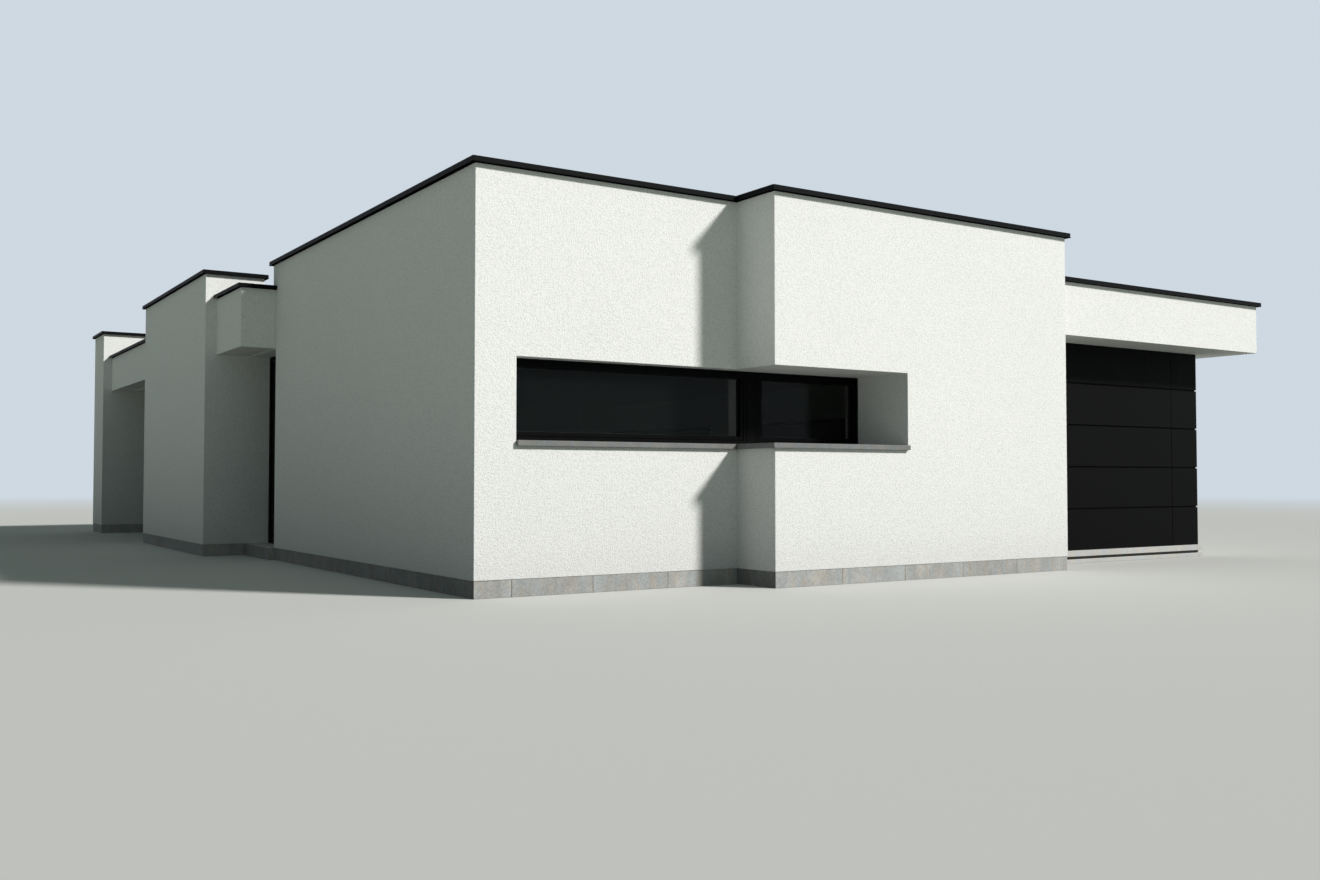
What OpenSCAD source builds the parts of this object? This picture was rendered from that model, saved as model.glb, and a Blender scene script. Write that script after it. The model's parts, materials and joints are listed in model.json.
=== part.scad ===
// Single-storey detached house: white rendered cubes with black copings,
// a notched bay with a slot window, an entrance recess, a terrace recess and a garage.
// Measured from the outer corner of the front block: X along the front, Y to the back, Z up.

/* [Front block] */
// Width of the plain part of the front
front_w = 2735; // [2300:5:3300]
// Width of the bay beside it
bay_w = 4085; // [3600:5:4800]
// How far the bay stands out of the front
bay_out = 575; // [450:5:700]
// Depth of the tall front block
block_d = 5990; // [5500:10:6500]

/* [Garden side] */
// Width of the entrance recess
recess_w = 1205; // [1100:5:1400]
// How far the tall block runs over the entrance recess
corbel = 125; // [50:5:150]
// Length of the tall box beside the entrance
box_w = 3995; // [3400:5:4600]
// Length of the terrace recess
terrace_w = 3950; // [3400:5:4600]
// Length of the tall box at the far end
end_w = 985; // [900:5:1300]
// How far the tall boxes stand out of the front block's side
box_out = 570; // [500:5:650]
// Depth of the tall boxes above the roof
box_d = 750; // [650:5:850]
// How far the lintels lie behind the faces of the boxes and the bay
fascia_back = 145; // [100:5:200]
// How far the doors of the recesses lie inside the front block's side
door_back = 260; // [200:5:270]

/* [Garage] */
// Width of the garage front
garage_w = 3430; // [3200:10:4000]
// Width of the cladding beside the garage door
cladding_w = 534; // [450:2:650]
// How far the garage door lies behind the plain front
garage_back = 100; // [60:5:150]
// How far the garage canopy runs past the garage's outer wall
canopy_past = 510; // [300:10:700]
// Height of one section of the garage door
section_h = 500; // [450:10:550]
// Thickness of the garage door
section_t = 45; // [40:1:60]
// Height of the open joints in the garage door and its cladding
panel_joint = 17; // [8:1:24]
// Depth of the open joints in the garage door
panel_joint_d = 20; // [12:1:22]
// Width of the joint between the garage door and its cladding
cladding_joint = 8; // [5:1:12]
// Thickness of the cladding panels
cladding_t = 30; // [26:1:40]
// How far the garage threshold stands out of the door
threshold_out = 60; // [30:5:90]
// Height of the threshold's upper edge
threshold_t = 68; // [50:1:80]
// Height of the groove under the threshold's upper edge
threshold_gap = 34; // [20:1:50]

/* [Heights] */
// Height of the plinth and of the floor
plinth_h = 150; // [100:5:250]
// Height of the ceiling over the recesses, the rear rooms and the garage
ceiling_z = 2615; // [2450:5:2800]
// Top of the low parapets
low_top = 3215; // [3100:5:3300]
// Top of the entrance canopy
canopy_top = 3340; // [3320:5:3450]
// Top of the tall walls
tall_top = 3660; // [3500:5:3900]
// Thickness of the roof slabs
slab_t = 300; // [200:10:350]
// Depth of the tall roof below the parapet's top
tall_roof_drop = 300; // [200:10:350]

/* [Walls] */
// Thickness of the outer walls
wall_t = 350; // [300:5:400]
// How far the plinth lies behind the render
plinth_back = 5; // [2:1:15]
// Width of the joints between lengths of stone
stone_joint = 5; // [3:1:8]
// Width of the joints between the floor slabs
floor_joint = 10; // [6:1:20]
// Thickness of the inner side of the tall boxes above the roof
upstand_t = 150; // [120:5:200]
// Thickness of the roof membrane
membrane_t = 20; // [10:1:30]

/* [Copings] */
// Height of the coping's edge
coping_t = 50; // [35:1:70]
// How far the coping stands out of the wall
coping_out = 50; // [30:1:70]
// Thickness of the coping's folded edge
coping_sheet = 3; // [2:0.5:4]
// How far the drip at the edge's foot stands out of it
coping_drip = 6; // [3:0.5:9]
// The longest that a length of coping may be
coping_longest = 3000; // [2000:100:4500]
// Width of the joints between lengths of coping
coping_joint = 4; // [2:0.5:8]

/* [Windows] */
// Distance from the corner to the slot window
window_x = 390; // [350:5:500]
// Width of the slot window
window_w = 4025; // [3700:5:4400]
// Underside of the slot window's sill
sill_z = 1285; // [1100:5:1400]
// Thickness of the sills
sill_t = 50; // [35:1:70]
// How far the sills stand out of the wall
sill_out = 38; // [30:1:60]
// How far the sills fall towards their nose
sill_fall = 3; // [1:0.5:8]
// Distance from a sill's nose to the drip groove under it
drip_in = 14; // [8:1:18]
// Width and depth of the drip groove
drip_w = 8; // [5:1:11]
// Top of the slot window
window_top = 2050; // [1900:5:2200]
// How far the window frames lie behind the wall's face
frame_back = 150; // [100:5:180]
// Width of the frames' bars
frame_face = 75; // [55:1:90]
// Depth of the frames
frame_d = 75; // [72:1:90]
// Width of the beads round the panes
bead_w = 33; // [20:1:36]
// How far the beads lie behind the front of their frame
bead_back = 3; // [1:0.5:6]
// Width of the groove between a bead and its bar
bead_groove = 5; // [3:1:8]
// Depth of that groove
bead_groove_d = 9; // [6:1:14]
// Width of the post between the two panes of the slot window
post_w = 265; // [200:5:320]
// Distance from the frame's outer edge to the post
post_x = 2496; // [2300:2:2700]
// Thickness of the glass
glass_t = 28; // [20:1:28]
// How far the glass reaches into its frame
glass_in = 12; // [8:1:18]
// Clearance between the glass's edge and the bottom of the rebate
glass_gap = 4; // [2:1:6]
// How far the glass lies behind the front of its frame
glass_back = 36; // [20:1:38]
// Thickness of the slabs and the cheek that line the slot in the bay
lining_t = 200; // [150:5:250]
// Number of panes in the terrace window
terrace_panes = 3; // [2:1:4]
// Width of the posts between them
terrace_post = 90; // [80:1:120]
// Distance from the outer wall's end to the rear window
rear_window_x = 3000; // [2500:50:4000]
// Distance from the end box's back to the first side window
side_window_y = 1500; // [1200:50:2200]
// Distance between the two side windows
side_window_gap = 1500; // [1000:50:2200]

/* [Entrance] */
// Width of the door frame's bars
door_frame_w = 60; // [45:1:80]
// Height of the door's threshold
door_sill_h = 20; // [12:1:25]
// Clearance round the door leaf
door_gap = 9; // [8:0.5:12]
// Thickness of the door leaf
door_t = 60; // [50:1:62]
// Thickness of the stop that the leaf closes against
stop_t = 8; // [5:1:10]
// Clearance between the stop and the leaf
stop_gap = 6; // [5:0.5:8]
// How far the stop reaches over the leaf's edge
stop_in = 10; // [6:1:15]
// How far the doorstep stands out of the front block's side
step_out = 60; // [20:5:120]
// Diameter of the pull handle
handle_dia = 32; // [25:1:40]
// Length of the pull handle
handle_len = 1200; // [800:50:1600]
// Distance from the leaf's face to the pull handle's middle
handle_off = 55; // [45:1:65]
// Thickness of the handle's foot plates
handle_foot = 5; // [3:1:8]
// Height of the pull handle's middle above the floor
handle_z = 1150; // [1000:10:1300]
// Distance from the door's edge to the pull handle's middle
handle_edge = 90; // [70:5:140]
// Radius of the hinge knuckles
knuckle_r = 9; // [7:0.5:11]
// Length of one hinge knuckle
knuckle_h = 40; // [30:1:60]
// Gap between two knuckles of a hinge
knuckle_gap = 0.3; // [0.2:0.1:0.5]

/* [Hidden] */

render_white = "whitesmoke";
coping_black = [0.14, 0.15, 0.16];
frame_black = [0.06, 0.06, 0.07];
panel_black = [0.10, 0.10, 0.11];
glass_grey = [0.35, 0.40, 0.42, 0.5];
stone_grey = [0.60, 0.60, 0.58];
roof_grey = [0.30, 0.30, 0.30];

// Plan lines along X
bay_x = front_w;
block_x = front_w + bay_w;
garage_x = block_x + garage_w;
door_x = door_back;
box_x = -box_out;
box_in_x = box_x + box_d;
fascia_x = -(box_out - fascia_back);
room_x = wall_t;
clad_x = garage_x - cladding_w;

// Plan lines along Y
bay_y = -bay_out;
recess_y = block_d - corbel;
box_y = recess_y + recess_w;
terrace_y = box_y + box_w;
end_y = terrace_y + terrace_w;
back_y = end_y + end_w;
canopy_y = -(bay_out - fascia_back);
garage_in_y = garage_back + wall_t;

// Levels
roof_z = ceiling_z + slab_t;
tall_roof_z = tall_top - tall_roof_drop;
frame_z = sill_z + sill_t;
frame_h = window_top - frame_z;
window_end = window_x + window_w;

// The middle of the whole house in plan, where the origin is
mid_x = (box_x + garage_x + canopy_past) / 2;
mid_y = (bay_y + back_y) / 2;

// The slot window's panes: start and end along the frame
slot_posts = [[post_x, post_w]];
door_w = recess_w - 2 * door_frame_w - 2 * door_gap;
door_z = plinth_h + door_sill_h + door_gap;
door_h = ceiling_z - door_frame_w - door_gap - door_z;
leaf_y = recess_y + door_frame_w + door_gap;
leaf_x = door_x + stop_t + stop_gap;
leaf_back = leaf_x + door_t;
hinge_x = leaf_back + knuckle_r + 2;
hinge_y = box_y - door_frame_w - door_gap / 2;
hinge_levels = [0.1, 0.5, 0.9];

// Moves the plan so that the origin is under the middle of the house
module placed() {
    translate([-mid_x, -mid_y, 0]) children();
}

// A plain block between two corners
module block(x0, y0, x1, y1, z0, z1) {
    translate([x0, y0, z0]) cube([x1 - x0, y1 - y0, z1 - z0]);
}

// The outward direction of an edge of an outline that runs anticlockwise
function outward(a, b) =
    is_undef(a) || is_undef(b) ? [0, 0] : [b[1] - a[1], a[0] - b[0]] / norm(b - a);

// The section of a coping, from its outer edge inwards: a packer as wide as the wall and a sheet over it
// that is folded down to a drip, at its far edge too or only at the outer one
function coping_section(w, both) =
    let (s = coping_sheet, k = coping_drip, t = coping_t)
    let (edge = [
        [coping_out, 0], [coping_out, t - 3 * s], [k + s, t - 3 * s], [k + s, 1.5 * k],
        [s, 0], [0, 0], [k, 1.5 * k], [k, t - s], [k + s, t]
    ])
    concat(edge, both ? [for (i = [len(edge) - 1:-1:0]) [w - edge[i][0], edge[i][1]]] : [[w, t], [w, 0]]);

// The coping over a plan, with its outer edge on the line from a to b
module coping_over(plan, a, b, w, both = false) {
    reach = norm(b - a) + 2 * w;
    intersection() {
        linear_extrude(coping_t) polygon(plan);
        translate([a[0], a[1], 0]) rotate([0, 0, atan2(b[1] - a[1], b[0] - a[0])]) translate([-w, 0, 0])
            rotate([90, 0, 90]) linear_extrude(reach) polygon(coping_section(w, both));
    }
}

// A side of coping cut into lengths: its outer edge from a to b, its inner edge from c behind b to d behind a
module coping_side(a, b, c, d) {
    span = norm(b - a);
    along = (b - a) / span;
    across = [-along[1], along[0]] * (wall_t + 2 * coping_out);
    n = ceil(span / coping_longest);
    half = along * coping_joint / 2;
    for (i = [0:n - 1]) {
        from = a + along * span * i / n + half;
        to = a + along * span * (i + 1) / n - half;
        low = i == 0 ? [d, a] : [from + across, from];
        high = i == n - 1 ? [b, c] : [to, to + across];
        coping_over(concat(low, high), a, b, norm(across), true);
    }
}

// The coping on the wall from p to q, mitred where the walls before and after it meet it
module wall_coping(before, p, q, after) {
    at_p = outward(before, p) + outward(p, q);
    at_q = outward(p, q) + outward(q, after);
    inside = wall_t + coping_out;
    half = (q - p) / norm(q - p) * coping_joint / 2;
    coping_side(
        p + at_p * coping_out + half, q + at_q * coping_out - half,
        q - at_q * inside - half, p - at_p * inside + half
    );
}

// The joints across a lid that runs from a to b
module lid_joints(a, b, w) {
    n = ceil(norm(b - a) / coping_longest);
    size = a[1] == b[1] ? [coping_joint, 2 * w, 3 * coping_t] : [2 * w, coping_joint, 3 * coping_t];
    for (i = [1:1:n - 1])
        translate(concat(a + (b - a) * i / n, [0])) cube(size, center = true);
}

// A lid over the whole of a box, folded down on its four sides
module box_lid(x0, y0, x1, y1) {
    h = (x1 - x0) / 2;
    low = [x0 + h, y0 + h];
    high = [x0 + h, y1 - h];
    difference() {
        union() {
            coping_over([[x0, y1], [x0, y0], low, high], [x0, y1], [x0, y0], h);
            coping_over([[x0, y0], [x1, y0], low], [x0, y0], [x1, y0], h);
            coping_over([[x1, y0], [x1, y1], high, low], [x1, y0], [x1, y1], h);
            coping_over([[x1, y1], [x0, y1], high], [x1, y1], [x0, y1], h);
        }
        lid_joints([x0 + h, y0], [x0 + h, y1], h);
    }
}

// Start and width of each pane between the posts of a frame
function pane_spans(w, posts) =
    let (starts = concat([frame_face], [for (post = posts) post[0] + post[1]]))
    let (ends = concat([for (post = posts) post[0]], [w - frame_face]))
    [for (i = [0:len(starts) - 1]) [starts[i], ends[i] - starts[i]]];

// A block as large as a pane with a margin round it, from one depth to another
module pane_block(pane, h, margin, y0, y1) {
    translate([pane[0] - margin, y0, frame_face - margin])
        cube([pane[1] + 2 * margin, y1 - y0, h - 2 * frame_face + 2 * margin]);
}

// A frame lying along X with its front at Y 0: a bead behind a groove round each pane, and a rebate for the glass
module window_frame(w, h, posts) difference() {
    cube([w, frame_d, h]);
    for (pane = pane_spans(w, posts)) {
        pane_block(pane, h, 0, -1, frame_d + 1);
        pane_block(pane, h, glass_in + glass_gap, glass_back, glass_back + glass_t);
        pane_block(pane, h, bead_w, -1, bead_back);
        difference() {
            pane_block(pane, h, bead_w + bead_groove, -1, bead_groove_d);
            pane_block(pane, h, bead_w, -1, bead_groove_d);
        }
    }
    for (post = posts)
        if (post[1] > 3 * frame_face)
            for (x = [post[0] + frame_face, post[0] + post[1] - frame_face])
                translate([x - bead_groove / 2, -1, -1]) cube([bead_groove, 1 + bead_groove_d, h + 2]);
}

// The panes of that frame
module window_panes(w, h, posts) {
    for (pane = pane_spans(w, posts))
        pane_block(pane, h, glass_in, glass_back, glass_back + glass_t);
}

// Turns a window so that it faces the back, on the wall along back_y
module on_back(x) {
    translate([x + window_w, back_y - frame_back, frame_z]) rotate([0, 0, 180]) children();
}

// Turns a window so that it faces away from the garden, on the wall along garage_x
module on_side(y) {
    translate([garage_x - frame_back, y, frame_z]) rotate([0, 0, 90]) children();
}

side_windows = [
    back_y - side_window_y - window_w,
    back_y - side_window_y - 2 * window_w - side_window_gap
];

// Posts that make n equal panes
function even_posts(w, n) =
    let (pane = (w - 2 * frame_face - (n - 1) * terrace_post) / n)
    [for (i = [1:n - 1]) [frame_face + i * pane + (i - 1) * terrace_post, terrace_post]];

module floor_slabs() color(stone_grey) placed() {
    half = floor_joint / 2;
    block(room_x, wall_t, block_x - wall_t, recess_y - half, 0, plinth_h);
    block(bay_x + wall_t, bay_y + wall_t, block_x - wall_t, wall_t - floor_joint, 0, plinth_h);
    block(block_x - wall_t + floor_joint, garage_in_y, garage_x - wall_t, recess_y - half, 0, plinth_h);
    block(room_x, recess_y + half, garage_x - wall_t, back_y - wall_t, 0, plinth_h);
    block(box_x + wall_t, box_y + wall_t, room_x - floor_joint, terrace_y - wall_t, 0, plinth_h);
    block(box_x + wall_t, end_y + wall_t, room_x - floor_joint, back_y - wall_t, 0, plinth_h);
}

module plinth() color(stone_grey) placed() {
    b = plinth_back;
    j = stone_joint;
    block(b, b, wall_t, recess_y, 0, plinth_h);
    block(wall_t + j, b, bay_x, wall_t, 0, plinth_h);
    block(bay_x + b, bay_y + wall_t + j, bay_x + wall_t, wall_t, 0, plinth_h);
    block(bay_x + b, bay_y + b, block_x - b, bay_y + wall_t, 0, plinth_h);
    block(block_x - wall_t, bay_y + wall_t + j, block_x - b, garage_in_y - j, 0, plinth_h);
    block(box_x + b, box_y + b, box_x + wall_t, terrace_y - b, 0, plinth_h);
    block(box_x + wall_t + j, box_y + b, room_x, box_y + wall_t, 0, plinth_h);
    block(box_x + wall_t + j, terrace_y - wall_t, room_x, terrace_y - b, 0, plinth_h);
    block(door_x, terrace_y, room_x, end_y, 0, plinth_h);
    block(box_x + b, end_y + b, box_x + wall_t, back_y - b, 0, plinth_h);
    block(box_x + wall_t + j, end_y + b, room_x, end_y + wall_t, 0, plinth_h);
    block(box_x + wall_t + j, back_y - wall_t, garage_x - b, back_y - b, 0, plinth_h);
    block(garage_x - wall_t, garage_in_y + j, garage_x - b, back_y - wall_t - j, 0, plinth_h);
}

module front_wall() color(render_white) placed() difference() {
    block(0, 0, bay_x, wall_t, plinth_h, tall_top);
    block(window_x, -1, bay_x + 1, wall_t + 1, sill_z, window_top);
}

module bay_front_wall() color(render_white) placed() difference() {
    block(bay_x, bay_y, block_x, bay_y + wall_t, plinth_h, tall_top);
    block(bay_x - 1, bay_y - 1, window_end, bay_y + wall_t + 1, sill_z, window_top);
}

// Over the slot it stands on a pier behind the window's post
module bay_side_wall() color(render_white) placed() difference() {
    block(bay_x, bay_y + wall_t, bay_x + wall_t, wall_t, plinth_h, tall_top);
    block(bay_x - 1, bay_y, bay_x + wall_t + 1, frame_back + frame_d, sill_z, window_top);
    block(bay_x - 1, bay_y, window_x + post_x, wall_t + 1, sill_z, window_top);
}

module bay_soffit_slab() color(render_white) placed()
    block(bay_x + wall_t, bay_y + wall_t, window_end, wall_t, window_top, window_top + lining_t);

module bay_ledge_slab() color(render_white) placed()
    block(bay_x + wall_t, bay_y + wall_t, window_end, wall_t, sill_z - lining_t, sill_z);

module bay_cheek_wall() color(render_white) placed()
    block(window_end, bay_y + wall_t, window_end + lining_t, wall_t, sill_z - lining_t, window_top + lining_t);

module garage_side_wall() color(render_white) placed()
    block(block_x - wall_t, bay_y + wall_t, block_x, garage_in_y, plinth_h, tall_top);

module left_wall() color(render_white) placed()
    block(0, wall_t, wall_t, recess_y, plinth_h, tall_top);

module entrance_step() color(stone_grey) placed()
    block(-step_out, recess_y, room_x, box_y, 0, plinth_h);

module entrance_canopy() color(render_white) placed()
    block(fascia_x, recess_y, 0, box_y, ceiling_z, canopy_top);

module west_box_wall() color(render_white) placed()
    block(box_x, box_y, box_x + wall_t, terrace_y, plinth_h, tall_top);

module end_box_wall() color(render_white) placed()
    block(box_x, end_y, box_x + wall_t, back_y, plinth_h, tall_top);

module box_return_walls() color(render_white) placed() {
    for (y = [box_y, terrace_y - wall_t, end_y])
        block(box_x + wall_t, y, room_x, y + wall_t, plinth_h, ceiling_z);
}

module box_upstands() color(render_white) placed() {
    difference() {
        block(box_x + wall_t, box_y, box_in_x, terrace_y, roof_z, tall_top);
        block(box_x, box_y + wall_t, box_in_x - upstand_t, terrace_y - wall_t, roof_z - 1, tall_top + 1);
    }
    difference() {
        block(box_x + wall_t, end_y, box_in_x, back_y, roof_z, tall_top);
        block(box_x, back_y - wall_t, box_in_x + 1, back_y + 1, roof_z - 1, low_top);
    }
}

module terrace_lintel() color(render_white) placed()
    block(fascia_x, terrace_y, fascia_x + wall_t, end_y, ceiling_z, low_top);

module north_wall() color(render_white) placed() difference() {
    block(box_x + wall_t, back_y - wall_t, garage_x, back_y, plinth_h, low_top);
    block(rear_window_x, back_y - wall_t - 1, rear_window_x + window_w, back_y + 1, sill_z, window_top);
}

module east_wall() color(render_white) placed() difference() {
    block(garage_x - wall_t, garage_in_y, garage_x, back_y - wall_t, plinth_h, low_top);
    for (y = side_windows)
        block(garage_x - wall_t - 1, y, garage_x + 1, y + window_w, sill_z, window_top);
}

module garage_pier() color(render_white) placed()
    block(clad_x, garage_back + cladding_t, garage_x, garage_in_y, plinth_h, ceiling_z);

module garage_canopy() color(render_white) placed()
    block(block_x, canopy_y, garage_x + canopy_past, garage_in_y, ceiling_z, low_top);

module upper_walls() color(render_white) placed() union() {
    block(block_x - wall_t, garage_in_y, block_x, block_d, roof_z, tall_top);
    block(wall_t, block_d - wall_t, block_x, block_d, roof_z, tall_top);
    block(0, recess_y, wall_t + 1, block_d, roof_z, tall_top);
}

module front_roof_slab() color(stone_grey) placed() union() {
    block(wall_t, wall_t, block_x - wall_t, block_d - wall_t, tall_roof_z - slab_t, tall_roof_z);
    block(bay_x + wall_t, bay_y + wall_t, block_x - wall_t, wall_t + 1, tall_roof_z - slab_t, tall_roof_z);
}

module rear_roof_slab() color(stone_grey) placed() translate([0, 0, ceiling_z]) linear_extrude(slab_t)
    polygon([
        [wall_t, block_d - wall_t], [garage_x - wall_t, block_d - wall_t],
        [garage_x - wall_t, back_y - wall_t], [box_x + wall_t, back_y - wall_t],
        [box_x + wall_t, end_y], [fascia_x + wall_t, end_y],
        [fascia_x + wall_t, terrace_y], [box_x + wall_t, terrace_y],
        [box_x + wall_t, box_y], [0, box_y], [0, recess_y], [wall_t, recess_y]
    ]);

module garage_roof_slab() color(stone_grey) placed()
    block(block_x - wall_t, garage_in_y, garage_x - wall_t, block_d - wall_t, ceiling_z, roof_z);

module roof_membranes() color(roof_grey) placed() {
    translate([0, 0, tall_roof_z]) linear_extrude(membrane_t) polygon([
        [wall_t, wall_t], [bay_x + wall_t, wall_t], [bay_x + wall_t, bay_y + wall_t],
        [block_x - wall_t, bay_y + wall_t], [block_x - wall_t, block_d - wall_t], [wall_t, block_d - wall_t]
    ]);
    translate([0, 0, roof_z]) linear_extrude(membrane_t) polygon([
        [block_x, garage_in_y], [garage_x - wall_t, garage_in_y], [garage_x - wall_t, back_y - wall_t],
        [box_in_x, back_y - wall_t], [box_in_x, end_y], [fascia_x + wall_t, end_y],
        [fascia_x + wall_t, terrace_y], [box_in_x, terrace_y], [box_in_x, box_y],
        [0, box_y], [0, block_d], [block_x, block_d]
    ]);
}

module front_block_coping() color(coping_black) placed() translate([0, 0, tall_top]) {
    outline = [[0, 0], [bay_x, 0], [bay_x, bay_y], [block_x, bay_y], [block_x, block_d], [0, block_d]];
    n = len(outline);
    for (i = [0:n - 1])
        wall_coping(outline[(i + n - 1) % n], outline[i], outline[(i + 1) % n], outline[(i + 2) % n]);
}

module box_copings() color(coping_black) placed() translate([0, 0, tall_top]) {
    o = coping_out;
    box_lid(box_x - o, box_y - o, box_in_x + o, terrace_y + o);
    box_lid(box_x - o, end_y - o, box_in_x + o, back_y + o);
}

// Folded down on the garden's side and at its end towards the front
module entrance_coping() color(coping_black) placed() translate([0, 0, canopy_top]) union() {
    outer = [fascia_x - coping_out, recess_y - coping_out];
    w = -outer[0];
    mitre = [0, outer[1] + w];
    coping_over([[outer[0], box_y], outer, mitre, [0, box_y]], [outer[0], box_y], outer, w);
    coping_over([outer, [0, outer[1]], mitre], outer, [0, outer[1]], w);
}

module terrace_coping() color(coping_black) placed() translate([0, 0, low_top]) {
    x0 = fascia_x - coping_out;
    x1 = fascia_x + wall_t + coping_out;
    coping_side([x0, end_y], [x0, terrace_y], [x1, terrace_y], [x1, end_y]);
}

// The garage canopy's lid is folded down on all sides but the one against the front block
module low_wall_copings() color(coping_black) placed() translate([0, 0, low_top]) {
    end = garage_x + canopy_past + coping_out;
    y0 = canopy_y - coping_out;
    y1 = garage_in_y + coping_out;
    h = (y1 - y0) / 2;
    ridge = [[end - h, y0 + h], [block_x, y0 + h]];
    difference() {
        union() {
            coping_over(concat([[block_x, y0], [end, y0]], ridge), [block_x, y0], [end, y0], h);
            coping_over([[end, y0], [end, y1], ridge[0]], [end, y0], [end, y1], h);
            coping_over([[end, y1], [block_x, y1], ridge[1], ridge[0]], [end, y1], [block_x, y1], h);
        }
        lid_joints([block_x, y0 + h], [end, y0 + h], h);
    }
    side = [garage_x, y1 + coping_joint / 2];
    corner = [garage_x, back_y];
    wall_coping(undef, side, corner, [box_in_x, back_y]);
    wall_coping(side, corner, [box_in_x, back_y], undef);
}

module front_window_frame() color(frame_black) placed()
    translate([window_x, frame_back, frame_z]) window_frame(window_w, frame_h, slot_posts);

module front_window_glass() color(glass_grey) placed()
    translate([window_x, frame_back, frame_z]) window_panes(window_w, frame_h, slot_posts);

// A sill lying along X with its nose at Y 0: a seat for the frame, a fall to the nose and a drip groove under it
module sill(w, d) {
    rotate([90, 0, 90]) linear_extrude(w) polygon([
        [0, 0], [drip_in, 0], [drip_in, drip_w], [drip_in + drip_w, drip_w], [drip_in + drip_w, 0],
        [d, 0], [d, sill_t], [d - frame_d, sill_t], [0, sill_t - sill_fall]
    ]);
}

module window_sills() color(stone_grey) placed() translate([0, 0, sill_z]) {
    inner = frame_back + frame_d;
    split = bay_x - sill_out;
    nose = bay_y - sill_out;
    translate([window_x, -sill_out, 0]) sill(split - stone_joint - window_x, inner + sill_out);
    difference() {
        translate([split, nose, 0]) sill(window_end - split, inner - nose);
        translate([split + drip_in, nose + drip_in, -1]) cube([drip_w, -nose - drip_in, 1 + drip_w]);
    }
    translate([rear_window_x + window_w, back_y + sill_out, 0]) rotate([0, 0, 180]) sill(window_w, inner + sill_out);
    for (y = side_windows)
        translate([garage_x + sill_out, y, 0]) rotate([0, 0, 90]) sill(window_w, inner + sill_out);
}

// One section of the garage door, seen from the side: a tongue above, a groove below, an open joint in front
module door_section(w, h, has_groove, has_tongue) {
    tongue = 12;
    slack = 0.5;
    third = (section_t - panel_joint_d) / 3;
    low = has_groove ? slack : 0;
    front_high = has_tongue ? h - panel_joint : h;
    rotate([90, 0, 90]) linear_extrude(w) polygon(concat(
        [[0, low]],
        has_groove ? [
            [panel_joint_d + third - slack, low], [panel_joint_d + third - slack, low + tongue],
            [panel_joint_d + 2 * third + slack, low + tongue], [panel_joint_d + 2 * third + slack, low]
        ] : [],
        [[section_t, low], [section_t, h]],
        has_tongue ? [
            [panel_joint_d + 2 * third, h], [panel_joint_d + 2 * third, h + tongue],
            [panel_joint_d + third, h + tongue], [panel_joint_d + third, h],
            [panel_joint_d, h], [panel_joint_d, front_high]
        ] : [],
        [[0, front_high]]
    ));
}

module garage_door() color(panel_black) placed() {
    n = ceil((ceiling_z - plinth_h) / section_h);
    for (i = [0:n - 1])
        translate([block_x, garage_back, plinth_h + i * section_h])
            door_section(
                garage_w - cladding_w - cladding_joint,
                min(section_h, ceiling_z - plinth_h - i * section_h), i > 0, i < n - 1
            );
}

// The panels' backs close the joints between them
module garage_cladding() color(panel_black) placed() {
    n = ceil((ceiling_z - plinth_h) / section_h);
    for (i = [0:n - 1]) {
        low = plinth_h + i * section_h;
        h = min(section_h, ceiling_z - low);
        front_high = i < n - 1 ? h - panel_joint : h;
        translate([clad_x, garage_back, low]) rotate([90, 0, 90]) linear_extrude(cladding_w) polygon([
            [0, 0], [cladding_t, 0], [cladding_t, h],
            [panel_joint_d, h], [panel_joint_d, front_high], [0, front_high]
        ]);
    }
}

module garage_threshold() color(stone_grey) placed() {
    nose = garage_back - threshold_out;
    groove_top = plinth_h - threshold_t;
    groove_low = groove_top - threshold_gap;
    translate([block_x, 0, 0]) rotate([90, 0, 90]) linear_extrude(garage_w) polygon([
        [nose, 0], [garage_in_y, 0], [garage_in_y, plinth_h], [nose, plinth_h],
        [nose, groove_top], [garage_back, groove_top], [garage_back, groove_low], [nose, groove_low]
    ]);
}

// The frame has a stop in front of the leaf's edges and carries the outer knuckles of three hinges
module entrance_door_frame() color(frame_black) placed() {
    over = door_gap + stop_in;
    difference() {
        block(door_x, recess_y, leaf_back, box_y, plinth_h, ceiling_z);
        block(door_x - 1, recess_y + door_frame_w + over, leaf_back + 1, box_y - door_frame_w - over,
            plinth_h + door_sill_h, ceiling_z - door_frame_w - over);
        block(door_x + stop_t, recess_y + door_frame_w, leaf_back + 1, box_y - door_frame_w,
            plinth_h + door_sill_h, ceiling_z - door_frame_w);
    }
    for (level = hinge_levels)
        for (side = [-1, 1])
            translate([0, 0, door_z + level * door_h + side * (knuckle_h + knuckle_gap) - knuckle_h / 2])
                union() {
                    translate([hinge_x, hinge_y, 0]) cylinder(r = knuckle_r, h = knuckle_h, $fn = 48);
                    block(leaf_back - 1, hinge_y + 4, hinge_x, hinge_y + 14, 0, knuckle_h);
                }
}

module entrance_door_leaf() color(panel_black) placed() union() {
    block(leaf_x, leaf_y, leaf_back, leaf_y + door_w, door_z, door_z + door_h);
    for (level = hinge_levels)
        translate([0, 0, door_z + level * door_h - knuckle_h / 2]) {
            translate([hinge_x, hinge_y, 0]) cylinder(r = knuckle_r, h = knuckle_h, $fn = 48);
            block(leaf_back - 1, leaf_y + door_w - 10, hinge_x, leaf_y + door_w, 0, knuckle_h);
        }
}

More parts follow.
